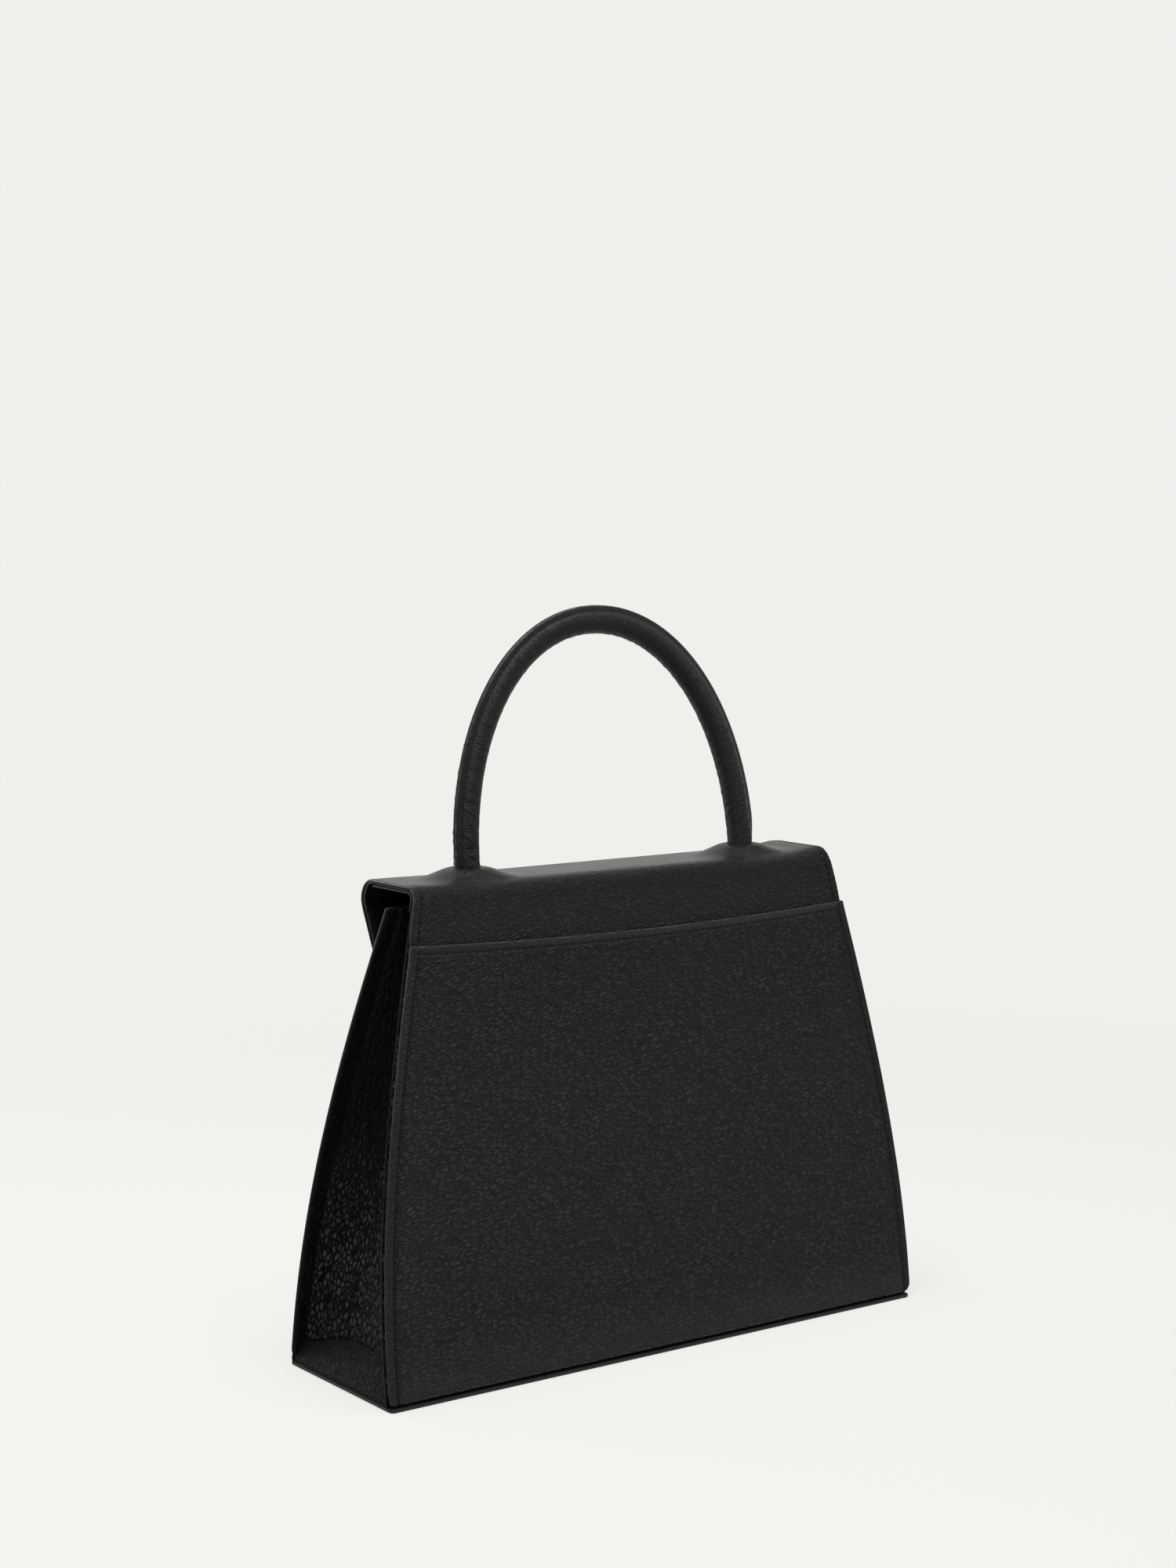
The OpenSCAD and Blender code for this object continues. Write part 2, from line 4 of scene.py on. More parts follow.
import bpy
import numpy as np
from mathutils import Matrix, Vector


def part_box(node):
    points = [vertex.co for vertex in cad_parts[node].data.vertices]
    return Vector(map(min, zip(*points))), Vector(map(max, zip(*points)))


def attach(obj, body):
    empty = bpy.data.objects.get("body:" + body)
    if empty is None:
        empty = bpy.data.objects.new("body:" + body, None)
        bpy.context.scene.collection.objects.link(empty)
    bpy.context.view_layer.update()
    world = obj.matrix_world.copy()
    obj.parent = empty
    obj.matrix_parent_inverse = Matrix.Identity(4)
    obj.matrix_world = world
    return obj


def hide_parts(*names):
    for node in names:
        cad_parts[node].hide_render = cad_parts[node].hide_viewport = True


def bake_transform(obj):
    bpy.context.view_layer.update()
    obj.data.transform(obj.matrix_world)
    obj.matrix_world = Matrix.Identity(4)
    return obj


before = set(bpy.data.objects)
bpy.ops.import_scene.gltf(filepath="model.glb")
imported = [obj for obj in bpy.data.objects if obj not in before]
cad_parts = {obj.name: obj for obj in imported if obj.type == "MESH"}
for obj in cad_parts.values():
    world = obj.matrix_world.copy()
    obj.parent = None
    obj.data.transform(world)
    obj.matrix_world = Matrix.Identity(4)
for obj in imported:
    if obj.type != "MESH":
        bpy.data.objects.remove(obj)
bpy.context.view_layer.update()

# Slip pocket
# The outermost leather of the rear wall is one piece of 1.5 mm pebbled leather. Its sides
# are sewn through the wall 4.6 mm in from painted edges, and its dipping top edge is open.

# Sizes are in millimetres, and MM makes them metres. Materials, lamps and camera use metres.
MM = 0.001
body_h = 238.0
foot_w = 320.4
shoulder_w = 252.0
side_bow = 7.7
low_bow_share = 0.34
foot_depth = 93.4
foot_z = 3.2
rear_lean = math.radians(6.45)
wall_corner_r = 5.0
near_corner_r = 2.0
edge_spread = 0.5
far_spread = 0.9
leather_t = 1.5
rim_round = 0.9
paint_fade = 0.7
# Darkness of the back ring of a rim: a glue line and painted shade between stacked sheets
joint_shade = 0.92
pocket_h = 211.5
pocket_dip = 3.4
seam_at = 4.6
stitch_pitch = 4.0
groove_w = 0.5
faint_line = 1.5
swell_at = 3.2
pocket_seam_at = 4.0
lip_at = 1.7
press_w = 6.0
calm_foot_h = 26.0
# Painted shade on the margins outside the side seams, most on the far side
far_margin_shade = 0.6
near_margin_shade = 0.35
# Painted shade that darkens the pocket towards its top
pocket_painted_shade = 0.14
wall_step = 1.34
wall_reach = 148
BLACK = (0.0160, 0.0156, 0.0155)
EDGE_PAINT = (0.024, 0.0225, 0.0225, 1)
# Lighter colour along the ridge of a painted edge: rub wear and a painted highlight together
RUB_AND_HIGHLIGHT = (0.100, 0.096, 0.092, 1)


def part(t):
    """A number held between 0 and 1."""
    return np.clip(t, 0, 1)


def smooth(t):
    """Eased step from 0 to 1."""
    t = part(t)
    return t * t * (3 - 2 * t)


def bell(d, width):
    """A soft bump: 1 where d is 0, and about a third at one width from there."""
    return np.exp(-(d / width) ** 2)


def most(*fields):
    """The largest of several fields at each point."""
    return functools.reduce(np.maximum, fields)


def half_width(z):
    """Half width of a wall at a height: an even taper plus a bow that is fuller low down."""
    t = z / body_h
    taper = foot_w / 2 + (shoulder_w - foot_w) / 2 * t
    return taper + 4 * side_bow * t * (1 - t) * (1 + low_bow_share * (1 - 2 * t))


def waves(a, b, length, seed, count=7):
    """Soft unevenness from -1 to 1: the mean of sine waves of about one length, each in a
    direction and at a phase of its own."""
    draw = np.random.default_rng(seed)
    ranges = ((0, 6.28), (0, 6.28), (0.6, 1.5))
    turns, phases, paces = (draw.uniform(low, high, count) for low, high in ranges)
    total = 0.0
    for t, p, k in zip(turns, phases, paces):
        total = total + np.sin(2 * np.pi * k / length * (a * np.cos(t) + b * np.sin(t)) + p)
    return total / count


def add_piece(name, points, quads, finish, uv=None, **masks):
    """Mesh object from points in millimetres and rows of four corner numbers. Points that no
    face uses are dropped, uv and masks hold one value for each point."""
    used, at = np.unique(quads, return_inverse=True)
    corners = at.reshape(-1).astype(np.int32)
    mesh = bpy.data.meshes.new(name)
    mesh.vertices.add(len(used))
    mesh.vertices.foreach_set("co", (points[used] * MM).astype(np.float32).ravel())
    mesh.loops.add(len(corners))
    mesh.loops.foreach_set("vertex_index", corners)
    mesh.polygons.add(len(quads))
    mesh.polygons.foreach_set("loop_start", np.arange(0, len(corners), 4, dtype=np.int32))
    mesh.polygons.foreach_set("use_smooth", np.ones(len(quads), bool))
    if uv is not None:
        layer = mesh.uv_layers.new(name="surface")
        layer.data.foreach_set("uv", (uv[used][corners] * MM).astype(np.float32).ravel())
    for key, value in masks.items():
        mask = mesh.attributes.new(key, "FLOAT", "POINT")
        mask.data.foreach_set("value", value[used].astype(np.float32))
    mesh.update(calc_edges=True)
    mesh.set_sharp_from_angle(angle=math.radians(52))
    mesh.materials.append(finish)
    piece = bpy.data.objects.new(name, mesh)
    bpy.context.scene.collection.objects.link(piece)
    return piece


def grid_quads(m, n, first=0):
    """Corner numbers of the faces of a grid of m rows and n columns, counter-clockwise with
    columns to the right."""
    a = first + np.arange(m * n).reshape(m, n)
    return np.stack([a[:-1, :-1], a[:-1, 1:], a[1:, 1:], a[1:, :-1]], -1).reshape(-1, 4)


def grid_normals(base):
    """Unit normals of a grid of points, from the cross product of its two directions."""
    n = np.cross(np.gradient(base, axis=1), np.gradient(base, axis=0))
    return n / np.linalg.norm(n, axis=-1, keepdims=True)


def sheet_piece(name, base, thick, finish, uv, relief=0.0, edge_d=50.0, round_share=rim_round,
                cut_rows=(), gone=None, **masks):
    """One sheet of leather, cloth or board. Its face is base plus relief along the normal,
    its back is base less thick, and rounded rim rows close it all the way round, apart
    from the rows named in cut_rows, which end square. Cells in gone are left out. edge_d is
    the distance in from its painted edges. The glued joint behind the sheet is marked as a
    dark line on its rim, which also stands as painted shade in the groove between stacked
    rims."""
    m, n = base.shape[:2]
    size = m * n
    normal = grid_normals(base)
    face = base + normal * np.broadcast_to(relief, (m, n))[..., None]
    back = base - normal * thick
    loop = np.concatenate([np.arange(n), n - 1 + n * np.arange(1, m),
                           (m - 1) * n + np.arange(n - 2, -1, -1), n * np.arange(m - 2, 0, -1)])
    length = len(loop)
    row, column = loop // n, loop % n
    flat_face, flat_back, flat_n, flat_uv = (v.reshape(size, -1) for v in (face, back, normal, uv))
    middle = (flat_face[loop] + flat_back[loop]) / 2
    half = np.linalg.norm(flat_face[loop] - flat_back[loop], axis=1, keepdims=True) / 2
    out = np.cross(np.roll(middle, -1, 0) - np.roll(middle, 1, 0), flat_n[loop])
    square = np.isin(row, [r % m for r in cut_rows])
    ends = square & ((column == 0) | (column == n - 1))
    along = flat_face[loop] - flat_face[row * n + np.clip(column, 1, n - 2)]
    out[ends] = along[ends]
    out /= np.linalg.norm(out, axis=1, keepdims=True)
    bulge = half * round_share * np.where(square & ~ends, 0, 1)[:, None]
    steps = 5
    angle = np.pi * np.arange(1, steps) / steps
    rings = [middle + flat_n[loop] * half * np.cos(a) + out * bulge * np.sin(a) for a in angle]
    numbers = [loop] + [2 * size + k * length + np.arange(length) for k in range(steps - 1)]
    numbers.append(size + loop)
    rim_quads = [np.stack([a, b, np.roll(b, -1), np.roll(a, -1)], 1)
                 for a, b in zip(numbers[:-1], numbers[1:])]
    sides = [grid_quads(m, n), grid_quads(m, n, size)[:, ::-1]]
    hole_quads = []
    if gone is not None:
        sides = [quads[~gone.ravel()] for quads in sides]
        beyond = np.pad(gone, 1)
        corner = np.arange(size).reshape(m, n)
        for outside, a, b in ((beyond[:-2, 1:-1], corner[:-1, :-1], corner[:-1, 1:]),
                              (beyond[2:, 1:-1], corner[1:, 1:], corner[1:, :-1]),
                              (beyond[1:-1, :-2], corner[1:, :-1], corner[:-1, :-1]),
                              (beyond[1:-1, 2:], corner[:-1, 1:], corner[1:, 1:])):
            hit = outside & ~gone
            hole_quads.append(np.stack([a[hit], size + a[hit], size + b[hit], b[hit]], 1))
    inner = np.clip(row, 1, m - 2) * n + np.clip(column, 1, n - 2)
    away = flat_uv[loop] - flat_uv[inner]
    away /= np.maximum(np.linalg.norm(away, axis=1, keepdims=True), 1e-9)
    rim_uv = [flat_uv[loop] + away * half * a for a in angle]
    back_uv = flat_uv + (700.0, 300.0)
    # Painted shade: the back ring of the rim is darkened as the glue line and the shaded groove between
    # stacked sheets
    joint = joint_shade * (np.repeat(np.arange(1, steps), length) == steps - 1)
    marks = {"edge": np.exp(-np.maximum(edge_d, 0) / paint_fade), "seam": 0.0, **masks}
    for key, value in marks.items():
        v = np.broadcast_to(value, (m, n)).ravel()
        at_rim = np.tile(np.ones(length) if key == "edge" else v[loop], steps - 1)
        if key == "seam":
            at_rim = np.maximum(at_rim, joint)
        marks[key] = np.concatenate([v, v * 0, at_rim])
    return add_piece(name, np.concatenate([flat_face, flat_back] + rings),
                     np.concatenate(sides + rim_quads + hole_quads), finish,
                     np.concatenate([flat_uv, back_uv] + rim_uv), **marks)


def wire(tree, kind, links=(), **settings):
    """One shader node. links pairs an input, by name or number, with a value or a socket."""
    node = tree.nodes.new(kind)
    for key, value in settings.items():
        setattr(node, key, value)
    for key, value in links:
        if isinstance(value, bpy.types.NodeSocket):
            tree.links.new(value, node.inputs[key])
        else:
            node.inputs[key].default_value = value
    return node


def sums(tree, kind, *values):
    """Result of one Math node."""
    return wire(tree, "ShaderNodeMath", list(enumerate(values)), operation=kind).outputs[0]


def vectors(tree, kind, *links):
    """Result of one Vector Math node."""
    return wire(tree, "ShaderNodeVectorMath", links, operation=kind).outputs


def ramp(tree, value, low, high, to_low=0.0, to_high=1.0):
    """Value eased from one range to another."""
    links = [("Value", value), ("From Min", low), ("From Max", high), ("To Min", to_low),
             ("To Max", to_high)]
    return wire(tree, "ShaderNodeMapRange", links, interpolation_type="SMOOTHSTEP").outputs[0]


def tint(tree, share, a, b):
    """Colour between a and b."""
    return wire(tree, "ShaderNodeMix", [(0, share), (6, a), (7, b)], data_type="RGBA").outputs[2]


def cloud(tree, place, scale, detail, *more):
    """Value of a noise texture."""
    links = [("Vector", place), ("Scale", scale), ("Detail", detail), *more]
    return wire(tree, "ShaderNodeTexNoise", links).outputs["Fac"]


def raised(tree, height, distance, *more):
    """Normal of a relief that is distance metres high."""
    links = [("Height", height), ("Distance", distance), *more]
    return wire(tree, "ShaderNodeBump", links).outputs[0]


def new_finish(name):
    """An empty material and its node tree."""
    made = bpy.data.materials.new(name)
    made.use_nodes = True
    made.node_tree.nodes.clear()
    return made, made.node_tree


def surface(tree, colour, rough, normal, *more):
    """The shader of a material, from its colour, roughness and relief, and its output."""
    links = [("Base Color", colour), ("Roughness", rough), ("Normal", normal), *more]
    shader = wire(tree, "ShaderNodeBsdfPrincipled", links)
    wire(tree, "ShaderNodeOutputMaterial", [("Surface", shader.outputs[0])])


def effect(name, inputs, outputs):
    """Empty shader node group with named sockets, and its two end nodes. inputs pairs a
    name with its first value, and the input Place is a vector."""
    tree = bpy.data.node_groups.new(name, "ShaderNodeTree")
    tree.interface.new_socket(name="Place", in_out="INPUT", socket_type="NodeSocketVector")
    for label, value in inputs:
        socket = tree.interface.new_socket(name=label, in_out="INPUT", socket_type="NodeSocketFloat")
        socket.default_value = value
    for label in outputs:
        tree.interface.new_socket(name=label, in_out="OUTPUT", socket_type="NodeSocketFloat")
    return tree, tree.nodes.new("NodeGroupInput").outputs, tree.nodes.new("NodeGroupOutput").inputs


# Pebbled grain: rounded cells of two sizes, parted by fine valleys, with long soft creases
grain, gi, go = effect("pebbled_grain", [("Cell", 0.0015), ("Crease", 0.3), ("Depth", 1.0),
                       ("Dome", 0.3)], ["Height", "Valley", "Tone"])
mean_valley = 0.42
crease_w = 0.022
spot = vectors(grain, "SCALE", (0, gi["Place"]), ("Scale", sums(grain, "DIVIDE", 1.0, gi["Cell"])))[0]
drift = wire(grain, "ShaderNodeTexNoise", [("Vector", spot), ("Scale", 0.45), ("Detail", 2.0)])
shift = vectors(grain, "SUBTRACT", (0, drift.outputs["Color"]), (1, (0.5, 0.5, 0.5)))[0]
bent = vectors(grain, "MULTIPLY_ADD", (0, shift), (1, (0.7, 0.7, 0.7)), (2, spot))[0]
cells, pips = (wire(grain, "ShaderNodeTexVoronoi", [("Vector", bent), ("Scale", scale)],
                    feature="DISTANCE_TO_EDGE").outputs["Distance"] for scale in (1.0, 2.3))
dome = ramp(grain, cells, 0.0, gi["Dome"])
pips = ramp(grain, pips, 0.0, 0.3)
pores = cloud(grain, spot, 5.0, 3.0)
long_lines = cloud(grain, bent, 0.22, 3.0, ("Roughness", 0.6))
line = sums(grain, "ABSOLUTE", sums(grain, "SUBTRACT", long_lines, 0.5))
line = ramp(grain, line, 0.0, crease_w, 1.0, 0.0)
height = sums(grain, "MULTIPLY_ADD", pips, 0.24, sums(grain, "MULTIPLY", dome, 0.7))
height = sums(grain, "MULTIPLY_ADD", pores, 0.16, height)
height = sums(grain, "SUBTRACT", height, sums(grain, "MULTIPLY", line, gi["Crease"]))
grain.links.new(sums(grain, "MULTIPLY", height, gi["Depth"]), go["Height"])
creases = sums(grain, "MULTIPLY", line, sums(grain, "MULTIPLY", gi["Crease"], 1.6))
valley = sums(grain, "MAXIMUM", sums(grain, "SUBTRACT", 1.0, dome), creases)
valley = sums(grain, "SUBTRACT", valley, mean_valley)
grain.links.new(sums(grain, "MULTIPLY_ADD", valley, gi["Depth"], mean_valley), go["Valley"])
grain.links.new(ramp(grain, cloud(grain, spot, 0.06, 4.0), 0.3, 0.7), go["Tone"])

# Painted edge: the paint covers the rim, and along its ridge it is a little lighter, both rubbed by hands
# and a painted highlight
rim_wear_and_highlight, ri, ro = effect("painted_edge", [("Edge", 0.0)], ["Paint", "RubAndHighlight"])
ridge_at = 0.62
rub_highlight_noise = cloud(rim_wear_and_highlight, ri["Place"], 420.0, 4.0)
rim_wear_and_highlight.links.new(ramp(rim_wear_and_highlight, ri["Edge"], 0.55, 0.85), ro["Paint"])
off_ridge = sums(rim_wear_and_highlight, "ABSOLUTE", sums(rim_wear_and_highlight, "SUBTRACT", ri["Edge"], ridge_at))
ridge = ramp(rim_wear_and_highlight, off_ridge, 0.0, 0.34, 1.0, 0.0)
rim_wear_and_highlight.links.new(sums(rim_wear_and_highlight, "MULTIPLY", ridge, ramp(rim_wear_and_highlight, rub_highlight_noise, 0.40, 0.64)),
                   ro["RubAndHighlight"])

# Bent leather: fine creases that run along a fold, in from its bend mask
creased, ci, co = effect("fold_creases", [("Bend", 0.0)], ["Height"])
pulled = wire(creased, "ShaderNodeMapping", [("Vector", ci["Place"]), ("Scale", (110.0, 760.0, 1.0))])
folds = cloud(creased, pulled.outputs[0], 1.0, 3.0, ("Roughness", 0.55), ("Distortion", 0.35))
sharp = ramp(creased, sums(creased, "ABSOLUTE", sums(creased, "SUBTRACT", folds, 0.5)), 0.0, 0.11)
creased.links.new(sums(creased, "MULTIPLY", sharp, ci["Bend"]), co["Height"])


def leather(name, colour, cell, relief, gloss, crease=0.3, stretch=(1.0, 1.0), turn=0.0,
            bend_relief=0.0, valley_shade=0.35, shine=0.12, dome=0.3):
    """Leather whose pebbles are cell metres wide and relief metres high, drawn out by stretch
    along the direction turn. dome is the width of a pebble's flank, as a share of its size.
    The masks of a mesh say where its edge is painted, where it is bent, where its grain is
    pressed calm, and where a seam or joint is dark or a place is given painted shade. The
    colour is darkened as painted shade in the grain's valleys and in fold creases, and the
    lighter rubbed line on the paint is partly a painted highlight. Valleys, pale patches
    and seams are rougher, and paint and calm leather are smoother."""
    made, tree = new_finish(name)
    place = wire(tree, "ShaderNodeUVMap", uv_map="surface").outputs[0]
    turned = wire(tree, "ShaderNodeMapping", [("Vector", place), ("Rotation", (0, 0, turn)),
                  ("Scale", (*stretch, 1.0))], vector_type="TEXTURE").outputs[0]
    edge, bend, calm, seam = (wire(tree, "ShaderNodeAttribute", attribute_name=a).outputs["Fac"]
                              for a in ("edge", "bend", "calm", "seam"))
    depth = sums(tree, "SUBTRACT", 1.0, sums(tree, "MAXIMUM", edge, calm))
    pebbles = wire(tree, "ShaderNodeGroup", [("Place", turned), ("Cell", cell), ("Crease", crease),
                   ("Depth", depth), ("Dome", dome)], node_tree=grain).outputs
    rim = wire(tree, "ShaderNodeGroup", [("Place", place), ("Edge", edge)],
               node_tree=rim_wear_and_highlight).outputs
    fold = wire(tree, "ShaderNodeGroup", [("Place", place), ("Bend", bend)],
                node_tree=creased).outputs["Height"]
    # Painted shade: grain valleys and fold creases take the deep colour, and the seam mask, which holds
    # painted shade as well as seams, takes the dark one
    plain, light, deep, dark = (tuple(c * share for c in colour) + (1.0,)
                                for share in (1.0, 1.35, 1 - valley_shade, 0.12))
    # Painted shade in the creases of a fold
    crease_shade = sums(tree, "MULTIPLY", sums(tree, "SUBTRACT", bend, fold), 0.6)
    shade = tint(tree, pebbles["Tone"], plain, light)
    for share, over in ((pebbles["Valley"], deep), (crease_shade, deep), (rim["Paint"], EDGE_PAINT),
                        (rim["RubAndHighlight"], RUB_AND_HIGHLIGHT), (seam, dark)):
        shade = tint(tree, share, shade, over)
    rough = gloss
    for share, more in ((pebbles["Valley"], 0.16), (pebbles["Tone"], 0.05),
                        (rim["Paint"], -0.12), (seam, 0.3), (calm, -0.22)):
        rough = sums(tree, "MULTIPLY_ADD", share, more, rough)
    grained = raised(tree, pebbles["Height"], relief)
    surface(tree, shade, rough, raised(tree, fold, bend_relief, ("Normal", grained)),
            ("Specular IOR Level", shine))
    return made


wall_leather = leather("wall_leather", BLACK, cell=0.0016, relief=0.0010, gloss=0.43, crease=0.5,
                       stretch=(2.6, 1.0), turn=math.radians(19), bend_relief=0.00045,
                       valley_shade=0.92, shine=0.14, dome=0.36)
margin_steps = np.array([0, 0.45, 0.9, 1.4, 2.0, 2.6, 3.2, 3.7, 4.1, 4.4, 4.65, 4.9, 5.2, 5.6,
                         6.1, 6.7, 7.5, 8.6, 10.0, 12.0])


def stitch_pull(along, swing):
    """Pull of the thread along a seam, which falls from 1 to 1 - 2 swing and rises again once
    in each stitch pitch."""
    return 1 - swing + swing * np.cos(2 * np.pi * along / stitch_pitch)


def sewn_relief(d, along, drop=0.25, groove=0.7):
    """Relief at distance d in from a sewn edge: the margin falls towards the edge, the seam
    lies in a groove whose depth follows the pull of the thread, with a faint creased line
    inside it, and the leather swells a little before it is flat."""
    fall = -drop * part(1 - d / seam_at) ** 1.6
    seam = -groove * stitch_pull(along, 0.2) * bell(d - seam_at, groove_w)
    second = -0.10 * bell(d - seam_at - faint_line, 0.35)
    return fall + seam + second + 0.10 * bell(d - seam_at - swell_at, 1.7)


def seam_mask(d, along):
    """Share of a sewn line's dark hollow at distance d in from the edge, which follows the
    pull of the thread, and of the faint line inside it. The hollow is dark from its thread and
    from painted shade."""
    hollow = stitch_pull(along, 0.28) * bell(d - seam_at, 0.55)
    return hollow + 0.40 * bell(d - seam_at - faint_line, 0.40)


def swell(x, z, seed):
    """Slow and fine unevenness of a flat wall's leather."""
    return 0.06 * waves(x, z, length=46, seed=seed) + 0.035 * waves(x, z, length=17, seed=seed + 1)


def open_edge(top_d, side, deep, width):
    """Relief along an open top edge: a soft roll at the lip, less a sewn groove that ends at
    the side seams."""
    groove = deep * bell(top_d - pocket_seam_at, width) * part((side - seam_at - 0.2) * 2)
    return 0.08 * bell(top_d - lip_at, 1.1) - groove


def foot_calm(z):
    """Share of a wall's grain that is pressed flat near its foot."""
    return 0.5 * part(1 - (z - foot_z) / calm_foot_h)


def columns(rows, width, shares):
    """X of every point of a grid, from the left edge to the right edge, and the value of its
    row beside it. X has fixed steps in from each edge and even shares of the rest, and width
    holds one half width for each row."""
    w = width[:, None]
    edge = w - margin_steps[:-1]
    x = np.concatenate([edge, (w - margin_steps[-1]) * shares, -edge[:, ::-1]], 1)
    return x, np.repeat(rows[:, None], x.shape[1], 1)


def row_shares(step, half):
    """Even shares across the middle of a row, from 1 down to -1."""
    return np.linspace(1, -1, int(2 * half / step) | 1)


def corner_rows(z0, r):
    """Heights of the rows round a lower corner."""
    return z0 + r * (1 - np.cos(np.linspace(0, np.pi / 2, 7)))


def wall_rows(z0, z1, r, step, top_steps):
    """Heights of a wall's rows: close together round its lower corner and below its top edge,
    and a step apart between."""
    low = corner_rows(z0, r)
    high = z1 - np.asarray(top_steps)[::-1]
    count = max(2, int(round((high[0] - low[-1]) / step)))
    return np.concatenate([low, np.linspace(low[-1], high[0], count + 1)[1:], high[1:]])


def drawn_in(t):
    """How far a round corner draws an outline in, as a share of its radius: 0 where the
    corner begins and 1 where it ends."""
    return 1 - np.sqrt(1 - part(t) ** 2)


def rounded_width(full, zs, z0, inset, r):
    """Half width of each row, inset from the full one and drawn in round the lower corners."""
    return full - inset - r * drawn_in((z0 + r - zs) / r)


def widened(x):
    """A wall's X with its far side a little wider: the leathers spread there."""
    return x + far_spread * part(x / x[:, -1:]) * np.sign(x)


def rear_y(z):
    """Y of the rear wall's outer face at a height."""
    return foot_depth / 2 - (z - foot_z) * math.tan(rear_lean)


def rear_at(x, z, depth):
    """Points of the rear wall: a depth in from the plane of its outer face, which leans."""
    return np.stack([x, rear_y(z) - depth * math.cos(rear_lean),
                     z - depth * math.sin(rear_lean)], -1)


def pocket_mouth_z(x):
    """Height of the pocket's open edge, which dips between the sides."""
    return pocket_h - pocket_dip * (1 - (x / half_width(pocket_h)) ** 2)


rim = leather_t / 2 * rim_round
rows = wall_rows(foot_z + rim, pocket_h - rim, wall_corner_r - rim, wall_step, margin_steps[:-3])
full = half_width(rows) + edge_spread
(x, level), (near_x, _) = (columns(rows, rounded_width(full, rows, rows[0], rim, r - rim),
                                   row_shares(2.0, wall_reach))
                           for r in (wall_corner_r, near_corner_r))
x = widened(np.where(x > 0, near_x, x))
side = half_width(level) + edge_spread + far_spread * (x < 0) - np.abs(x)
dip = pocket_dip * (1 - (x / x[:, :1]) ** 2)
z = level - dip * part((level - rows[0]) / (rows[-1] - rows[0]))
top_d = pocket_mouth_z(x) - z
relief = sewn_relief(side, z) + swell(x, z, seed=3) + open_edge(top_d, side, deep=0.45, width=groove_w)
# Painted shade: the margin outside each side seam, which turns away, is darkened, most on the far side
margin = np.where(x < 0, far_margin_shade, near_margin_shade) * smooth((seam_at - side) / 0.5)
# Painted shade: the pocket darkens towards its top
upper_painted_shade = pocket_painted_shade * smooth((z - 120) / 80)
mouth_line = seam_mask(top_d + seam_at - pocket_seam_at, x) * np.exp(-np.maximum(top_d - 5, 0))
seam = most(seam_mask(side, z), margin, upper_painted_shade, mouth_line * (side > seam_at + 0.2))
calm = most(foot_calm(z), 0.5 * smooth((press_w - side) / 2), 0.8 * smooth((press_w - top_d) / 2))
pocket = sheet_piece("pocket_leather", rear_at(x, z, 0.0), leather_t, wall_leather,
                     np.stack([-x, z], -1), relief, np.minimum(side, np.minimum(top_d, z - foot_z)),
                     calm=calm, seam=seam)
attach(pocket, "bag_body")
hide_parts("pocket_panel")


# Rear wall, rear fold and crown
# One piece of leather runs up behind the pocket, turns over the rear fold and makes the top
# of the bag, where it is drawn up in a hollow cone round each foot of the handle.
panel_at = 1.9
panel_step = 0.8
fold_r = 8.5
front_fold_r = 10.5
crown_depth = 51.6
crown_seam_y = -20.6
wall_z = 2.82
handle_span = 169.0
handle_back = 3.0
bore_r = 6.6
tent_h = 4.6
tent_top_r = 8.1
tent_long = 34.0
tent_short = 15.0
crown_sag = 0.65
sag_reach = 50.0
far_lift = 1.6
far_lift_x = -124.0
far_lift_w = 10.0
top_spread = 1.0
line_ease = 0.8
line_step = 0.2
pucker_x = 117.0
pucker_h = 0.60
bead_h = 0.30
hole_lip = 0.9
wall_calm = 0.35
# Painted shade on the rear wall's leather below the crown
wall_painted_shade = 0.34
pocket_shadow = 0.9
rear_fold_z = body_h - fold_r
rear_fold_y = rear_y(rear_fold_z) - (panel_at + fold_r) / math.cos(rear_lean)
front_fold_y = rear_fold_y + fold_r + front_fold_r - crown_depth
handle_y = (rear_fold_y + front_fold_y) / 2 + handle_back


def arc(y, z, r, a0, a1):
    """Points of an arc in the YZ plane."""
    a = np.linspace(a0, a1, 40)
    return np.stack([y + r * np.cos(a), z + r * np.sin(a)], 1)


def run_along(points):
    """Distance along a line at each of its points."""
    return np.r_[0, np.cumsum(np.linalg.norm(np.diff(points, axis=0), axis=1))]


def soft_weights(offsets):
    """Weights of a soft mean, which fall off as a bell curve and come to 1 in all."""
    weights = np.exp(-0.5 * offsets ** 2)
    return weights / weights.sum()


def eased_line(points):
    """A line of YZ points at even fine steps, with its bends eased, as distance along it, Y,
    Z and the two parts of its outward normal."""
    run = run_along(points)
    s = np.linspace(0, run[-1], int(run[-1] / line_step))
    p = np.stack([np.interp(s, run, points[:, k]) for k in (0, 1)], 1)
    reach = int(3 * line_ease / line_step)
    weights = soft_weights(np.arange(-reach, reach + 1) * line_step / line_ease)
    count = np.arange(1, reach + 1)[:, None]
    p = np.concatenate([p[0] + (p[0] - p[1]) * count[::-1], p, p[-1] + (p[-1] - p[-2]) * count])
    y, z = (np.convolve(p[:, k], weights, "valid") for k in (0, 1))
    ty, tz = np.gradient(y), np.gradient(z)
    size = np.hypot(ty, tz)
    return s, y, z, tz / size, -ty / size


def on_line(line, s, x, depth=0.0):
    """Points across a bag from a YZ line, at distances s along it and x across."""
    y, z, ny, nz = (np.interp(s, line[0], line[k]) for k in (1, 2, 3, 4))
    return np.stack([x, y - ny * depth, z - nz * depth], -1)


def height_on(line, s):
    """Height of a YZ line at a distance along it."""
    return np.interp(s, line[0], line[2])


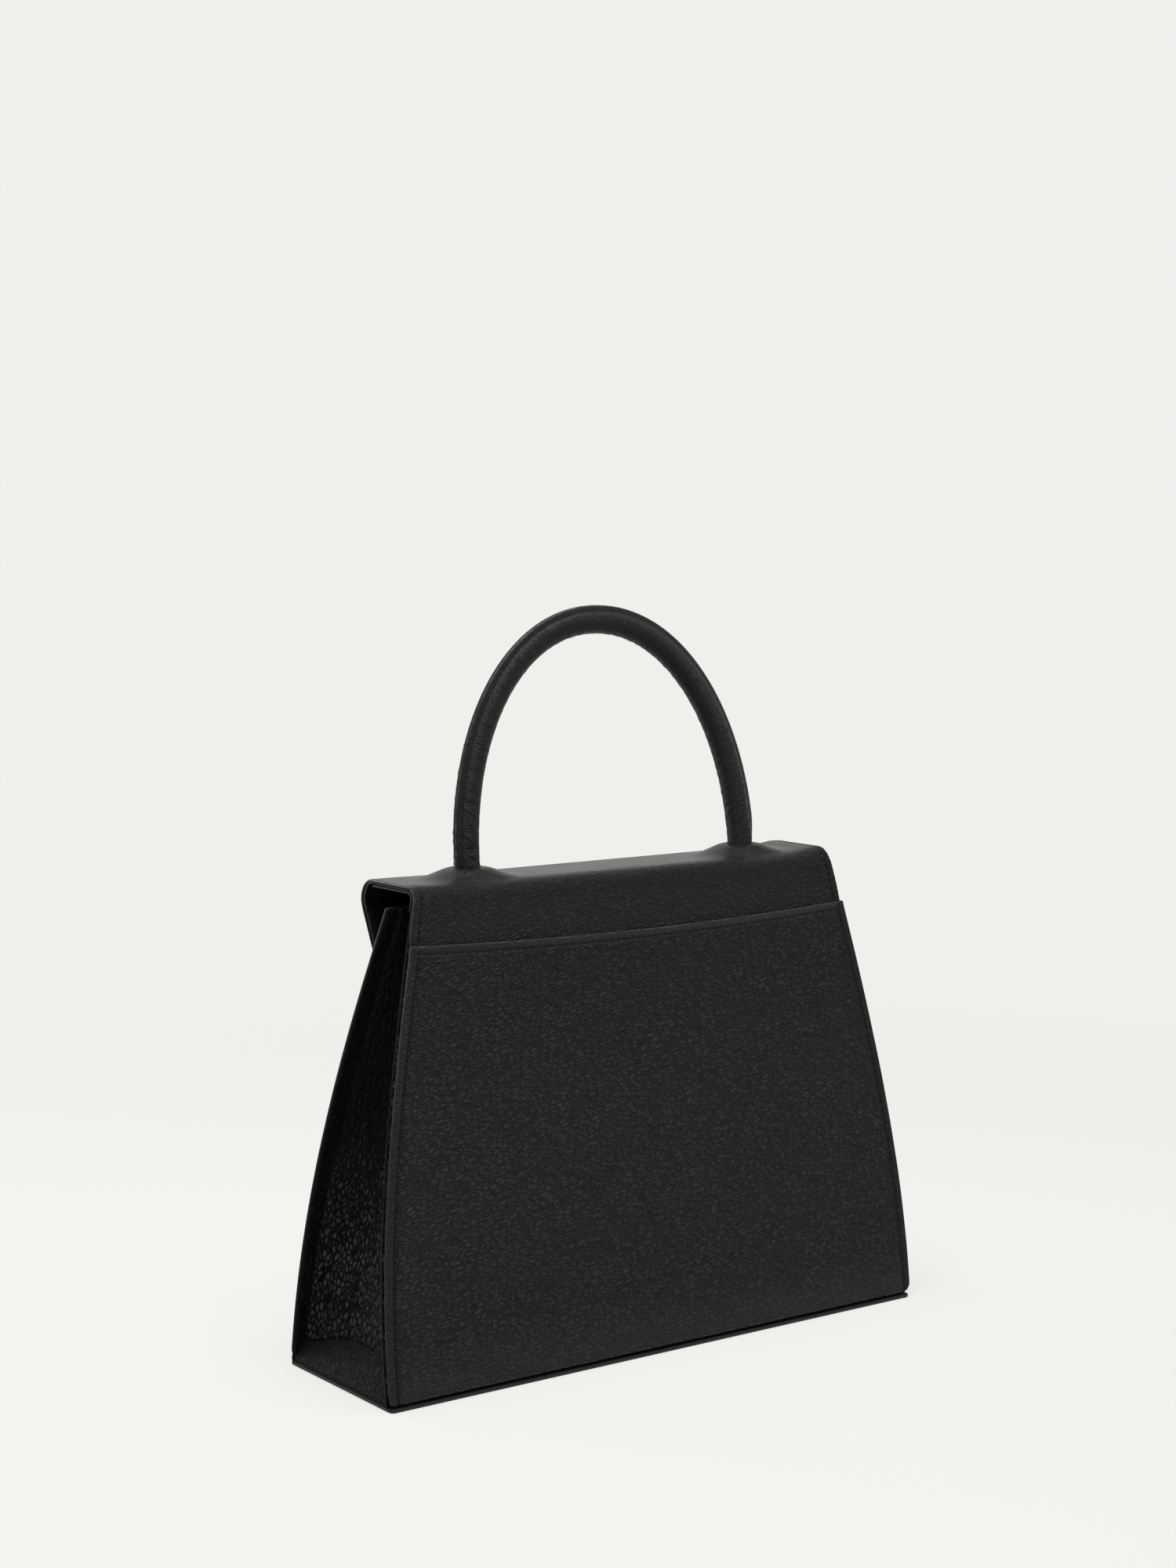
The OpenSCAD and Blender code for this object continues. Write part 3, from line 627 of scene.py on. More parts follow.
foot_y = rear_at(np.zeros(1), np.array([wall_z]), panel_at)[0]
rear_line = eased_line(np.concatenate([
    [[foot_y[1], foot_y[2]]],
    arc(rear_fold_y, rear_fold_z, fold_r, rear_lean, math.pi / 2),
    [[crown_seam_y, body_h]]]))
rear_length = rear_line[0][-1]
rising = rear_line[2] < body_h - 1
fold_from = np.interp(rear_fold_z, rear_line[2][rising], rear_line[0][rising])
fold_to = fold_from + fold_r * (math.pi / 2 - rear_lean)
fold_length = fold_to - fold_from


def crown_spread(z):
    """How far the edges of the rear wall's leather spread towards the crown."""
    return top_spread * smooth((z - 200) / 25)


def crown_half_width(s):
    """Half width of the rear wall and crown leather at a distance along its line."""
    z = np.minimum(height_on(rear_line, s), body_h)
    return half_width(z) - panel_step + edge_spread + crown_spread(z)


def crown_share(s):
    """How far a place along the rear line belongs to the crown: 0 on the wall, 1 on the top."""
    return smooth((s - fold_from - 0.2 * fold_length) / (0.8 * fold_length))


def crown_low(x):
    """How far the crown's layers sag along the bag, from their stiff sewn ends, less a low
    wave that lifts them near the far end."""
    return (crown_sag * smooth((shoulder_w / 2 - np.abs(x)) / sag_reach)
            - far_lift * bell(x - far_lift_x, far_lift_w))


def foot_share(x, y):
    """Share of the cone round a handle foot: 1 at the leather's hole, falling to 0 at an oval
    rim that is longer along the bag than across it."""
    dx, dy = np.abs(x) - handle_span / 2, y - handle_y
    r = np.maximum(np.hypot(dx, dy), 1e-6)
    turn = np.arctan2(dy, dx)
    reach = np.hypot(tent_long * np.cos(turn), tent_short * np.sin(turn))
    return part(1 - (r - tent_top_r) / (reach - tent_top_r))


def fold_wrinkles(x, s, seed):
    """Fine wrinkles that run along a fold."""
    return (0.055 * waves(x * 0.16, s, length=2.6, seed=seed)
            + 0.05 * waves(x * 0.25, s, length=4.1, seed=seed + 1))


rows = np.concatenate([corner_rows(rim, wall_corner_r - rim), np.arange(8, 204, 3.2),
                       np.arange(204.6, fold_from - 2, 1.0),
                       np.arange(fold_from - 2, fold_to + 1, 0.55),
                       np.linspace(fold_to + 1, rear_length, 40)])
width = rounded_width(crown_half_width(rows), rows, rim, rim, wall_corner_r - rim)
feet = np.concatenate([np.linspace(1, 0.930, 6), np.linspace(0.920, 0.560, 50),
                       np.linspace(0.54, 0, 26)])
x, s = columns(rows, width, np.concatenate([feet, -feet[-2::-1]]))
x = widened(x)
to_seam = rear_length - s
cone = foot_share(x, on_line(rear_line, s, x)[..., 1])
on_crown = part((s - fold_to + 1) / 3)
base = on_line(rear_line, s, x, crown_low(x) * crown_share(s) * (1 - cone * on_crown))
radial = np.stack([np.abs(base[..., 0]) - handle_span / 2, base[..., 1] - handle_y], -1)
r = np.linalg.norm(radial, axis=-1)
inside = (r < bore_r + 0.1) & (s > fold_to)
gone = inside[:-1, :-1] & inside[1:, :-1] & inside[:-1, 1:] & inside[1:, 1:]
snap = inside[..., None] * (radial / np.maximum(r, 1e-6)[..., None] * bore_r - radial)
base[..., 0] += np.sign(base[..., 0]) * snap[..., 0]
base[..., 1] += snap[..., 1]
turned_in = hole_lip * part((tent_top_r - 0.2 - r) / 1.6) ** 2
base[..., 2] += (tent_h * smooth(cone) ** 1.8 - turned_in) * on_crown * smooth(to_seam / 9)
bend = most(bell(s - (fold_from + fold_to) / 2, 8.5), 0.85 * bell(r - 10, 3.5) * on_crown)
side = crown_half_width(s) + far_spread * (x < 0) - np.abs(x)
wall_part = part((fold_to + 6 - s) / 10)
sewn = np.maximum(wall_part, 0.6 * (x < 0) * smooth(to_seam / 9))
beads = part(waves(s, 0, length=2.1, seed=11)) * bell(side - 0.7, 0.55)
relief = sewn_relief(side, s, drop=0.2) * sewn + bead_h * beads * wall_part
relief = relief + 0.05 * waves(x, s, length=38, seed=5) * part(to_seam / 6)
relief = relief + fold_wrinkles(x, s, 6) * bend * part(to_seam / 4)
for end in (-1, 1):
    near = bell(x * end - pucker_x, 5) * bell(s - fold_from + 5, 6)
    pucker = waves((x * end + s) * 0.3, s - x * end * 0.6, length=3.4, seed=8)
    relief = relief + pucker_h * near * pucker
# Painted shade: the margin outside the side seams is darkened, and on the far side it runs on over the crown
# as a dark lip
margin = np.where(x < 0, far_margin_shade, near_margin_shade * wall_part)
margin = margin * smooth((seam_at - side) / 0.5)
# Painted shadow: a dark line on the rear leather just above the pocket's mouth
mouth_shadow = pocket_shadow * bell(s + wall_z - 0.6 - pocket_mouth_z(x), 0.9)
# Painted shade: the rear leather is darker on the wall, below the crown
in_shade = wall_painted_shade * (1 - crown_share(s))
seam = most(seam_mask(side, s) * wall_part, margin, in_shade, mouth_shadow)
shell = sheet_piece("rear_leather", base, leather_t, wall_leather, np.stack([-x, s], -1),
                    relief, np.minimum(side, s), cut_rows=(-1,), gone=gone, bend=bend,
                    calm=wall_calm + 0.6 * crown_share(s), seam=seam)
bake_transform(shell)
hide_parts("rear_panel", "rear_fold", "crown_panel")


# Mouth facing and crown lining
# A strip of smooth trim leather finishes the lining at the mouth, goes round the inside of
# the rear fold and lines the crown. A reinforcing strip fills the fold between the leathers.
trim_leather = leather("trim_leather", (0.0090, 0.0087, 0.0084), cell=0.0006, relief=0.00003,
                       gloss=0.45, crease=0.2, bend_relief=0.00008, shine=0.08)
board_t = 1.2
lining_t = 0.8
stack_t = leather_t + board_t + lining_t
glue_gap = 0.04
strip_inset = 0.9
facing_w = 24.0
facing_down = 17.0
board_inset = 8.0
gusset_top = 225.5

rows = np.concatenate([np.linspace(fold_from - facing_down, fold_from - 7, 9),
                       np.arange(fold_from - 6, fold_to + 2, 0.7),
                       np.linspace(fold_to + 3, rear_length, 12)])
above_gusset = smooth((height_on(rear_line, rows) - gusset_top - 0.3) / 1.2)
width = crown_half_width(rows) - 0.1 - (board_inset - panel_step) * (1 - above_gusset)
share = np.linspace(-1, 1, 83)
x = width[:, None] * np.sign(share) * np.abs(share) ** 0.9
s = np.repeat(rows[:, None], len(share), 1)
under = stack_t + crown_low(x) * crown_share(s)
edge_d = np.minimum(width[:, None] - np.abs(x), np.minimum(s - s[0], s[-1] - s))
facing = sheet_piece("mouth_facing", on_line(rear_line, s, x, under), lining_t, trim_leather,
                     np.stack([x, s], -1), edge_d=edge_d, cut_rows=(-1,), bend=0.6)
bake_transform(facing)
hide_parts("rear_facing", "crown_lining")

share = np.linspace(-1, 1, 91)
inner_part = 1 / (1 + np.exp((np.abs(share) - 0.93) * 160))
start_s = fold_from - 4.6 + 4.9 * inner_part
s = start_s + (fold_to - 0.2 - start_s) * np.linspace(0, 1, 26)[:, None]
x = (crown_half_width(s) - strip_inset) * share
under = leather_t + board_t - glue_gap + crown_low(x) * crown_share(s)
strip = sheet_piece("fold_strip", on_line(rear_line, s, x, under), board_t - 2 * glue_gap,
                    trim_leather, np.stack([x, s], -1), edge_d=crown_half_width(s) - np.abs(x))
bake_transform(strip)


# Flap
# The same leather goes on over the front fold and hangs as a flap on the front wall. It is
# a shell of leather, board and lining, drawn in towards round lower corners, sewn all round.
flap_tip_z = 126.0
flap_lay = 60.0
flap_tip_w = 232.0
flap_corner_r = 18.0
front_h = 226.5
mouth_depth = 26.8
flap_bend = 12.0
run_clear = 0.3
front_lean = math.atan((rear_y(front_h) - mouth_depth + foot_depth / 2) / (front_h - foot_z))
flap_off = (stack_t + run_clear) / math.cos(front_lean)
flap_uv = 300


def front_y(z):
    """Y of the front wall's outer face at a height."""
    return -foot_depth / 2 + (z - foot_z) * math.tan(front_lean)


touch = np.array([front_y(flap_tip_z + flap_lay) - flap_off, flap_tip_z + flap_lay])
fold_c = np.array([front_fold_y, body_h - front_fold_r])
to_touch = touch - fold_c
to_tangent = math.acos(front_fold_r / np.hypot(*to_touch))
flap_end_a = math.atan2(to_touch[1], to_touch[0]) + 2 * math.pi - to_tangent
hang = np.array([-math.sin(flap_end_a), math.cos(flap_end_a)])
down = np.array([-math.sin(front_lean), -math.cos(front_lean)])
t = np.linspace(0, 1, 20)[:, None]
bend_from, bend_to = touch - flap_bend * hang, touch + flap_bend * down
eased = (1 - t) ** 2 * bend_from + 2 * t * (1 - t) * touch + t ** 2 * bend_to
flap_line = eased_line(np.concatenate([
    [[crown_seam_y, body_h]], arc(*fold_c, front_fold_r, math.pi / 2, flap_end_a), eased,
    [[front_y(flap_tip_z) - flap_off, flap_tip_z]]]))
flap_from = crown_seam_y - front_fold_y
flap_to = flap_from + front_fold_r * (flap_end_a - math.pi / 2)
flap_length = flap_line[0][-1]


def flap_half_width(z):
    """Half width of the flap: as wide as the crown at the top, drawn in more and more towards
    the tip."""
    t = part((body_h - z) / (body_h - flap_tip_z))
    top = shoulder_w / 2 - panel_step + edge_spread + top_spread
    return top - (top - flap_tip_w / 2) * t ** 2.2


def flap_grid(fold_step, wall_step, last, inset, shares):
    """X, distance along and distance in from the edge of the flap's points. Rows are close
    round the fold and at the tip, and the lower corners are round."""
    rows = np.concatenate([np.linspace(0, flap_from - 1, 6),
                           np.arange(flap_from - 0.5, flap_to + 2, fold_step),
                           np.arange(flap_to + 3, flap_length - last, wall_step),
                           (flap_length - inset - margin_steps)[::-1]])
    straight = flap_half_width(height_on(flap_line, rows))
    width = rounded_width(straight, flap_length - rows, inset, inset, flap_corner_r - inset)
    x, s = columns(rows, width, shares)
    side, tip = straight[:, None] - np.abs(x), flap_length - s
    cx, cz = np.maximum(flap_corner_r - side, 0), np.maximum(flap_corner_r - tip, 0)
    d = np.where((cx > 0) & (cz > 0), flap_corner_r - np.hypot(cx, cz), np.minimum(side, tip))
    return x, s, d


def flap_still(s):
    """How far a place along the flap's line still belongs to the crown: 1 on the top, 0 past
    the middle of the fold."""
    return 1 - smooth((s - flap_from) / (0.55 * (flap_to - flap_from)))


x, s, d = flap_grid(fold_step=0.6, wall_step=1.4, last=12.4, inset=rim, shares=row_shares(2.4, 110))
bend = bell(s - (flap_from + flap_to) / 2, 9)
sewn = part((s - flap_to - 2) / 8)
relief = sewn_relief(d, np.where(flap_length - s < d + 0.5, x, s), drop=0.2) * sewn
relief = relief + 0.05 * waves(x, s, length=40, seed=15) * part(s / 6)
relief = relief + fold_wrinkles(x, s, 16) * bend * part(s / 4)
flap = sheet_piece("flap_leather", on_line(flap_line, s, x, crown_low(x) * flap_still(s)), leather_t,
                   wall_leather, np.stack([-x, s + flap_uv], -1), relief, d, cut_rows=(0,), bend=bend,
                   seam=seam_mask(d, s) * sewn, calm=0.9 * flap_still(s))
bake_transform(flap)
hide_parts("front_fold", "flap_panel")

x, s, d = flap_grid(fold_step=0.8, wall_step=2.5, last=14, inset=0.4, shares=row_shares(5.0, 110))
base = on_line(flap_line, s, -x, stack_t + crown_low(x) * flap_still(s))
lining = sheet_piece("flap_lining_leather", base, lining_t, trim_leather,
                     np.stack([x, s + flap_uv], -1),
                     sewn_relief(d, s, drop=0.1, groove=0.2) * 0.6, d, cut_rows=(0,), bend=0.3)
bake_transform(lining)
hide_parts("flap_lining")

share = np.linspace(-1, 1, 81)
s = np.repeat(np.linspace(flap_from + 0.3, flap_to, 26)[:, None], len(share), 1)
strip_half = flap_half_width(height_on(flap_line, s)) - strip_inset
x = -strip_half * share
under = leather_t + board_t - glue_gap + crown_low(x) * flap_still(s)
strip = sheet_piece("flap_fold_strip", on_line(flap_line, s, -x, under), board_t - 2 * glue_gap,
                    trim_leather, np.stack([x, s], -1), edge_d=strip_half - np.abs(x))
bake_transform(strip)


# Front wall
# The front wall leans out on its foot seam when the mouth is opened. Its leather is sewn to
# the gussets down both sides, with the same painted edges as the rear wall.
front_facing_at = leather_t + board_t
front_flare = 2.1
flare_from = 8.0
flare_to = 236.0


def front_half_width(z):
    """Half width of the front wall, whose sides bow out a little more than the rear wall's,
    most of all above half height."""
    t = part((z - flare_from) / (flare_to - flare_from))
    return half_width(z) + edge_spread + front_flare * np.sin(np.pi * t ** 1.25)


def front_at(x, z, depth):
    """Points of the front wall: a depth in from the plane of its outer face, which leans."""
    return np.stack([x, front_y(z) + depth * math.cos(front_lean),
                     z - depth * math.sin(front_lean)], -1)


rows = wall_rows(foot_z + rim, front_h - rim, wall_corner_r - rim, wall_step, margin_steps[:-3])
width = rounded_width(front_half_width(rows), rows, rows[0], rim, wall_corner_r - rim)
x, z = columns(rows, width, row_shares(2.4, wall_reach))
x = -x
side = front_half_width(z) - np.abs(x)
top_d = front_h - z
relief = sewn_relief(side, z) + swell(x, z, seed=23) + open_edge(top_d, side, deep=0.3, width=0.4)
wall = sheet_piece("front_leather", front_at(x, z, 0.0), leather_t, wall_leather,
                   np.stack([x + 500, z], -1), relief, np.minimum(side, np.minimum(top_d, z - foot_z)),
                   seam=seam_mask(side, z), calm=foot_calm(z))
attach(wall, "front")
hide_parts("front_panel")


# Linings and inner pocket
# Woven cotton lines both walls between the mouth facings and the floor, covers the base
# board, and makes the flat pocket sewn to the rear lining.
weave, wi, wo = effect("plain_weave", [("Thread", 0.0004)], ["Height", "Tone"])
spin = sums(weave, "DIVIDE", math.pi, wi["Thread"])
threads = wire(weave, "ShaderNodeSeparateXYZ", [("Vector", wi["Place"])]).outputs
warp, weft = (sums(weave, "SINE", sums(weave, "MULTIPLY", threads[k], spin)) for k in (0, 1))
over = sums(weave, "ABSOLUTE", sums(weave, "MULTIPLY", warp, weft))
weave.links.new(ramp(weave, over, 0.0, 0.9), wo["Height"])
weave.links.new(cloud(weave, wi["Place"], 160.0, 4.0), wo["Tone"])

cloth, tree = new_finish("lining_cloth")
place = wire(tree, "ShaderNodeUVMap", uv_map="surface").outputs[0]
woven = wire(tree, "ShaderNodeGroup", [("Place", place)], node_tree=weave).outputs
shade = tint(tree, woven["Tone"], (0.020, 0.018, 0.017, 1), (0.036, 0.032, 0.030, 1))
shade = tint(tree, woven["Height"], (0.010, 0.009, 0.009, 1), shade)
surface(tree, shade, sums(tree, "MULTIPLY_ADD", woven["Tone"], 0.2, 0.7),
        raised(tree, woven["Height"], 0.00012))

lining_floor = 5.9
rear_lining_at = 4.6


def lining_sheet(name, wall_at, depth, z0, z1, flip, finish=cloth, round_r=5.0, hem=3.0):
    """A flat lining or facing on a wall, a depth in from its outer face. Its face looks into
    the bag, and a sewn hem runs along its top edge."""
    rows = wall_rows(z0, z1, round_r, 4.0, (0, 1, 2, 2.6, 3, 3.4, 4, 5.5))
    width = rounded_width(half_width(rows) + edge_spread, rows, z0, board_inset, round_r)
    x, z = columns(rows, width, row_shares(5.0, 140))
    x = flip * x
    side = half_width(z) - board_inset - np.abs(x)
    relief = 0.10 * waves(x, z, length=55, seed=31) * part(side / 8) * part((z1 - z) / 9)
    relief = relief - 0.2 * bell(z1 - z - hem, 0.4)
    return sheet_piece(name, wall_at(x, z, depth + lining_t), lining_t, finish,
                       np.stack([x, z], -1), relief, np.minimum(side, z1 - z))


rear_top_z = float(height_on(rear_line, fold_from))
rear_lining = lining_sheet("rear_lining_cloth", rear_at, rear_lining_at, lining_floor,
                           rear_top_z - facing_w + 6.4, -1)
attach(rear_lining, "bag_body")
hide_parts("rear_lining")
front_lining = lining_sheet("front_lining_cloth", front_at, front_facing_at, lining_floor,
                            front_h - facing_w - 0.1, 1)
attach(front_lining, "front")
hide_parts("front_lining")
front_facing = lining_sheet("front_facing_leather", front_at, front_facing_at, front_h - facing_w,
                            front_h - 0.1, 1, finish=trim_leather, round_r=0.5)
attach(front_facing, "front")
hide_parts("front_facing")

inner_w, inner_h, inner_r, inner_z = 170.0, 110.0, 8.0, 60.9
corner = corner_rows(inner_z, inner_r)
rows = np.concatenate([corner, np.linspace(corner[-1], inner_z + inner_h, 44)[1:]])
x, z = columns(rows, rounded_width(inner_w / 2, rows, inner_z, 0, inner_r), row_shares(3.0, 73))
x = x[:, ::-1]
side = np.minimum(inner_w / 2 - np.abs(x), z - inner_z)
top_d = inner_z + inner_h - z
relief = -0.22 * bell(np.minimum(side, top_d) - 2.6, 0.5)
relief = relief + 0.12 * waves(x, z, length=40, seed=33) * part(side / 9) * part(top_d / 9)
patch = sheet_piece("inner_pocket_cloth", rear_at(x, z, rear_lining_at + 2 * lining_t), lining_t,
                    cloth, np.stack([x, z + 400], -1), relief, np.minimum(side, top_d))
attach(patch, "bag_body")
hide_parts("inner_pocket")


# Base
# A 2 mm base leather with a rounded, painted edge stands out a little past the walls and
# carries a stiff board, which the floor lining covers.
base_finish = leather("base_leather", (0.0118, 0.0113, 0.0110), cell=0.0013, relief=0.00012,
                      gloss=0.5, crease=0.4, shine=0.1)
base_t = 2.0
base_out = 0.6
base_corner_r = 3.0
floor_in_x = 10.3
floor_in_y = 6.1
floor_corner_r = 6.0
floor_under = 5.8
plate_round = 0.8


def plate_piece(name, half_x, half_y, r, z, thick, finish, up, groove):
    """A flat plate with round corners, whose face looks up or down, a rounded edge all round
    and a sewn groove in its face."""
    high = half_y - r + r * np.sin(np.linspace(0, np.pi / 2, 8))
    ys = np.concatenate([-high[::-1], np.linspace(-high[0], high[0], 30)[1:-1], high])
    width = half_x - r * drawn_in((np.abs(ys) - half_y + r) / r)
    x, y = columns(ys * up, width, row_shares(5.0, half_x - 12))
    x = x[:, ::-1]
    in_x, in_y = half_x - np.abs(x), half_y - np.abs(y)
    cx, cy = np.maximum(r - in_x, 0), np.maximum(r - in_y, 0)
    d = np.where((cx > 0) & (cy > 0), r - np.hypot(cx, cy), np.minimum(in_x, in_y))
    return sheet_piece(name, np.stack([x, y, np.full_like(x, z)], -1), thick, finish,
                       np.stack([x, y + 800], -1), -groove * bell(d - seam_at, groove_w), d,
                       round_share=plate_round)


base_rim = base_t / 2 * plate_round
base = plate_piece("base_leather", foot_w / 2 + base_out - base_rim, foot_depth / 2 + base_out - base_rim,
                   base_corner_r - base_rim, 0.0, base_t, base_finish, up=-1, groove=0.3)
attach(base, "bag_body")
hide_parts("base_panel")
floor_lining = plate_piece("base_lining_cloth", foot_w / 2 - floor_in_x, foot_depth / 2 - floor_in_y,
                           floor_corner_r, floor_under, lining_t, cloth, up=1, groove=0.2)
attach(floor_lining, "bag_body")
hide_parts("base_lining")


# Gussets
# Each side is one piece of softer, deeper pebbled leather. Its edges are sewn inside the
# walls, it folds inwards between them, more at the mouth, and it stands on a sloping ledge.
# The gusset's colour is lighter than the walls' leather, so its pebble tops stand as a painted highlight,
# and its valleys are darkened almost to black as painted shade
gusset_leather = leather("gusset_leather", (0.0620, 0.0602, 0.0575), cell=0.0024, relief=0.0026,
                         gloss=0.26, crease=0.5, stretch=(1.0, 1.6), valley_shade=0.98, shine=0.025)
gusset_t = 1.2
gusset_edge = 0.4
seam_w = 6.0
fold_foot = 5.0
fold_mouth = 25.0
ledge_slope = 1.2
lip_h = 2.4
lip_line = base_t + lip_h
rear_board_at = 3.4
gusset_stand = board_t + 2 * lining_t + 2 * run_clear
gusset_columns = 84
crease_over = 0.9
puff_over = 1.9
# Painted shade on the ledge and over the upper gusset
ledge_shade = 0.86
shade_from = 45
shade_run = 85


def ledge_x(z):
    """X of the sloping ledge at a height, above its upright lip, with the turn between eased."""
    above = z - base_t - lip_h
    return half_width(z) - gusset_edge - (above + np.sqrt(above ** 2 + 0.5)) / 2 / ledge_slope


def gusset_middle(zs):
    """Middle line of a gusset at each height, and the distance along it: the front flange,
    the fold and the rear flange. The fold is |2u - 1| to a power that falls with height, and
    the ledge at the foot, above an upright lip, cuts it off on a slope. Corners are eased,
    and each row gets the same number of points."""
    z = zs[:, None]
    share = (z - base_t) / (gusset_top - base_t)
    u = np.linspace(0, 1, 161)[None, :]
    deep = fold_foot + (fold_mouth - fold_foot) * share
    seam_x = half_width(z) - seam_w
    fold = seam_x - deep * (1 - np.abs(2 * u - 1) ** (2.0 - 0.5 * share))
    ledge = ledge_x(z)
    fold, flange = ((a + ledge + np.sqrt((a - ledge) ** 2 + 0.9)) / 2 for a in (fold, seam_x))
    yf = front_y(z) + (leather_t + run_clear + gusset_t / 2) / math.cos(front_lean)
    yr = rear_y(z) - (rear_board_at + gusset_t / 2) / math.cos(rear_lean)
    y0, y1 = yf + gusset_stand, yr - gusset_stand
    front_edge = front_half_width(z) - gusset_edge
    rear_edge = half_width(z) + edge_spread - gusset_edge
    px = np.concatenate([front_edge, flange, fold, flange, rear_edge], 1)
    py = np.concatenate([yf, yf, y0 + (y1 - y0) * u, yr, yr], 1)
    run = np.cumsum(np.hypot(np.diff(px, axis=1), np.diff(py, axis=1)), 1)
    run = np.concatenate([np.zeros_like(z), run], 1)
    last, reach = 500, 9
    fine = np.linspace(0, 1, last + 1)
    x, y = (np.stack([np.interp(fine * r[-1], r, p) for r, p in zip(run, q)]) for q in (px, py))
    for line in (x, y):
        wide = np.pad(line, ((0, 0), (reach, reach)), mode="reflect", reflect_type="odd")
        weights = soft_weights(np.arange(-reach, reach + 1) / 3.2)
        line[:] = sum(w * wide[:, k:k + line.shape[1]] for k, w in enumerate(weights))
    pick = np.round(np.linspace(0, last, gusset_columns)).astype(int)
    points = np.stack([x[:, pick], y[:, pick], np.repeat(z, len(pick), 1)], -1)
    return points, run[:, -1:] * fine[pick][None, :]


zs = np.concatenate([np.arange(base_t, 20, 0.5), np.arange(20, gusset_top - 1, 1.5), [gusset_top]])
middle, around = gusset_middle(zs)
zz = np.repeat(zs[:, None], gusset_columns, 1)
side = np.minimum(around, around[:, -1:] - around)
over = middle[..., 0] - ledge_x(zz)
on_ledge = smooth((crease_over - over) / 0.6)
in_fold = part((side - 7) / 6)
crumple = waves(around, zz * 0.4, length=6, seed=43)
crease = bell(over - crease_over - 0.35 * crumple, 0.45) * in_fold
relief = 0.10 * waves(around, zz, length=30, seed=41) + 0.05 * waves(around, zz, length=11, seed=42)
relief = relief + 0.35 * (1 + crumple) * bell(over - puff_over, 1.2) * in_fold
relief = relief * part((side - 3) / 8) * part((zz - base_t) / 4) - 0.8 * crease
relief = relief + 0.35 * bell(zz - lip_line, 0.8)
edge_d = np.minimum(side, np.minimum(gusset_top - zz, zz - base_t))
# The lip's ridge is marked as a painted edge: it takes the edge paint and the lighter rubbed line, which
# here stands as a painted highlight
edge_d = np.minimum(edge_d, 0.15 + 1.2 * np.abs(zz - lip_line))
# Painted shade: the crease at the top of the ledge, the strip below the lip, the front flange, the ledge and
# the upper gusset are darkened
below_lip_shade = 0.9 * smooth((lip_line - 0.6 - zz) / 0.4)
front_flange_shade = 0.9 * smooth((10 - around) / 4)
in_shade = 0.9 * smooth((zz - shade_from) / shade_run)
dark = most(crease, below_lip_shade, front_flange_shade, ledge_shade * on_ledge, in_shade)
zl = np.concatenate([[lining_floor], np.arange(7, 20, 1.0), np.arange(20, 224, 3.0), [gusset_top - 1.4]])
lining_middle, lining_around = gusset_middle(zl)
between_seams = slice(8, -8)
front_n = np.array([0, -math.cos(front_lean), math.sin(front_lean)])
for name, sign in (("left", 1), ("right", -1)):
    flip = np.array([sign, 1, 1.0])
    order = slice(None, None, sign)
    base = (middle + grid_normals(middle) * gusset_t / 2) * flip
    uv = np.stack([(around + 60) * sign, zz], -1)
    # The seam mask of the gusset holds only painted shade
    piece = sheet_piece("gusset_leather_" + name, base[:, order], gusset_t, gusset_leather,
                        uv[:, order], relief[:, order], edge_d[:, order],
                        calm=0.4 * on_ledge[:, order], seam=dark[:, order])
    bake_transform(piece)
    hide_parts("gusset_" + name)
    order = slice(None, None, -sign)
    base = (lining_middle - grid_normals(lining_middle) * (gusset_t / 2 + 0.1 + lining_t)) * flip
    uv = np.stack([lining_around * sign, np.repeat(zl[:, None], gusset_columns, 1) + 250], -1)
    piece = sheet_piece("gusset_lining_cloth_" + name, base[:, between_seams][:, order], lining_t,
                        cloth, uv[:, between_seams][:, order])
    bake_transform(piece)
    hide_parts("gusset_lining_" + name)


# Handle
# A strip of leather is wrapped round a tube and sewn to itself in a fin on the outer side.
# The wrapped leather puckers along the fin and wrinkles across towards the feet.
handle_leather = leather("handle_leather", (0.0105, 0.0102, 0.0100), cell=0.0012, relief=0.00012,
                         gloss=0.29, bend_relief=0.00045, shine=0.14)
handle_rise = 121.2
handle_leg = 0.6
handle_lean = math.radians(6)
handle_r = 6.3
sleeve_t = 1.2
fin_w = 1.8
fin_t = 2.8
fin_half_a = 0.36
fin_root_a = 0.43
fin_grow = 20.0
fin_turn = math.radians(12)
side_a = 1.15
legs_reach = 46
wrinkle_h = 0.40
root_deep = 0.40
handle_fullness = 2.06
arch_rows = 640
ring_points = 72
tent_top = body_h + tent_h
arch_rise = handle_rise - tent_h - handle_leg
a = np.linspace(0, np.pi, 2400)
power = 2 / handle_fullness
curve = np.stack([handle_span / 2 * np.sign(np.cos(a)) * np.abs(np.cos(a)) ** power,
                  tent_top + handle_leg + arch_rise * np.abs(np.sin(a)) ** power], 1)
leg = body_h - leather_t
arch = np.concatenate([[[handle_span / 2, leg]], curve, [[-handle_span / 2, leg]]])
run = run_along(arch)
rows = np.linspace(0, run[-1], arch_rows)
reach = 8
weights = soft_weights(np.arange(-reach, reach + 1) / 3.0)
px, pz = (np.convolve(np.pad(np.interp(rows, run, arch[:, k]), reach, mode="reflect",
                             reflect_type="odd"), weights, "valid") for k in (0, 1))
tx, tz = np.gradient(px), np.gradient(pz)
size = np.hypot(tx, tz)
out_x, out_z = tz / size, -tx / size
s = rows[:, None]
over_crown = (pz - tent_top)[:, None]
turn = 2 * np.pi * np.arange(ring_points) / ring_points
p = np.where(turn > np.pi, turn - 2 * np.pi, turn)[None, :]
from_fin = np.abs(p)
fin = 1 / (1 + np.exp((from_fin - fin_half_a) / 0.035))
grown = smooth((over_crown + 5) / fin_grow)
across_fin = np.clip(p / fin_half_a, -1, 1)
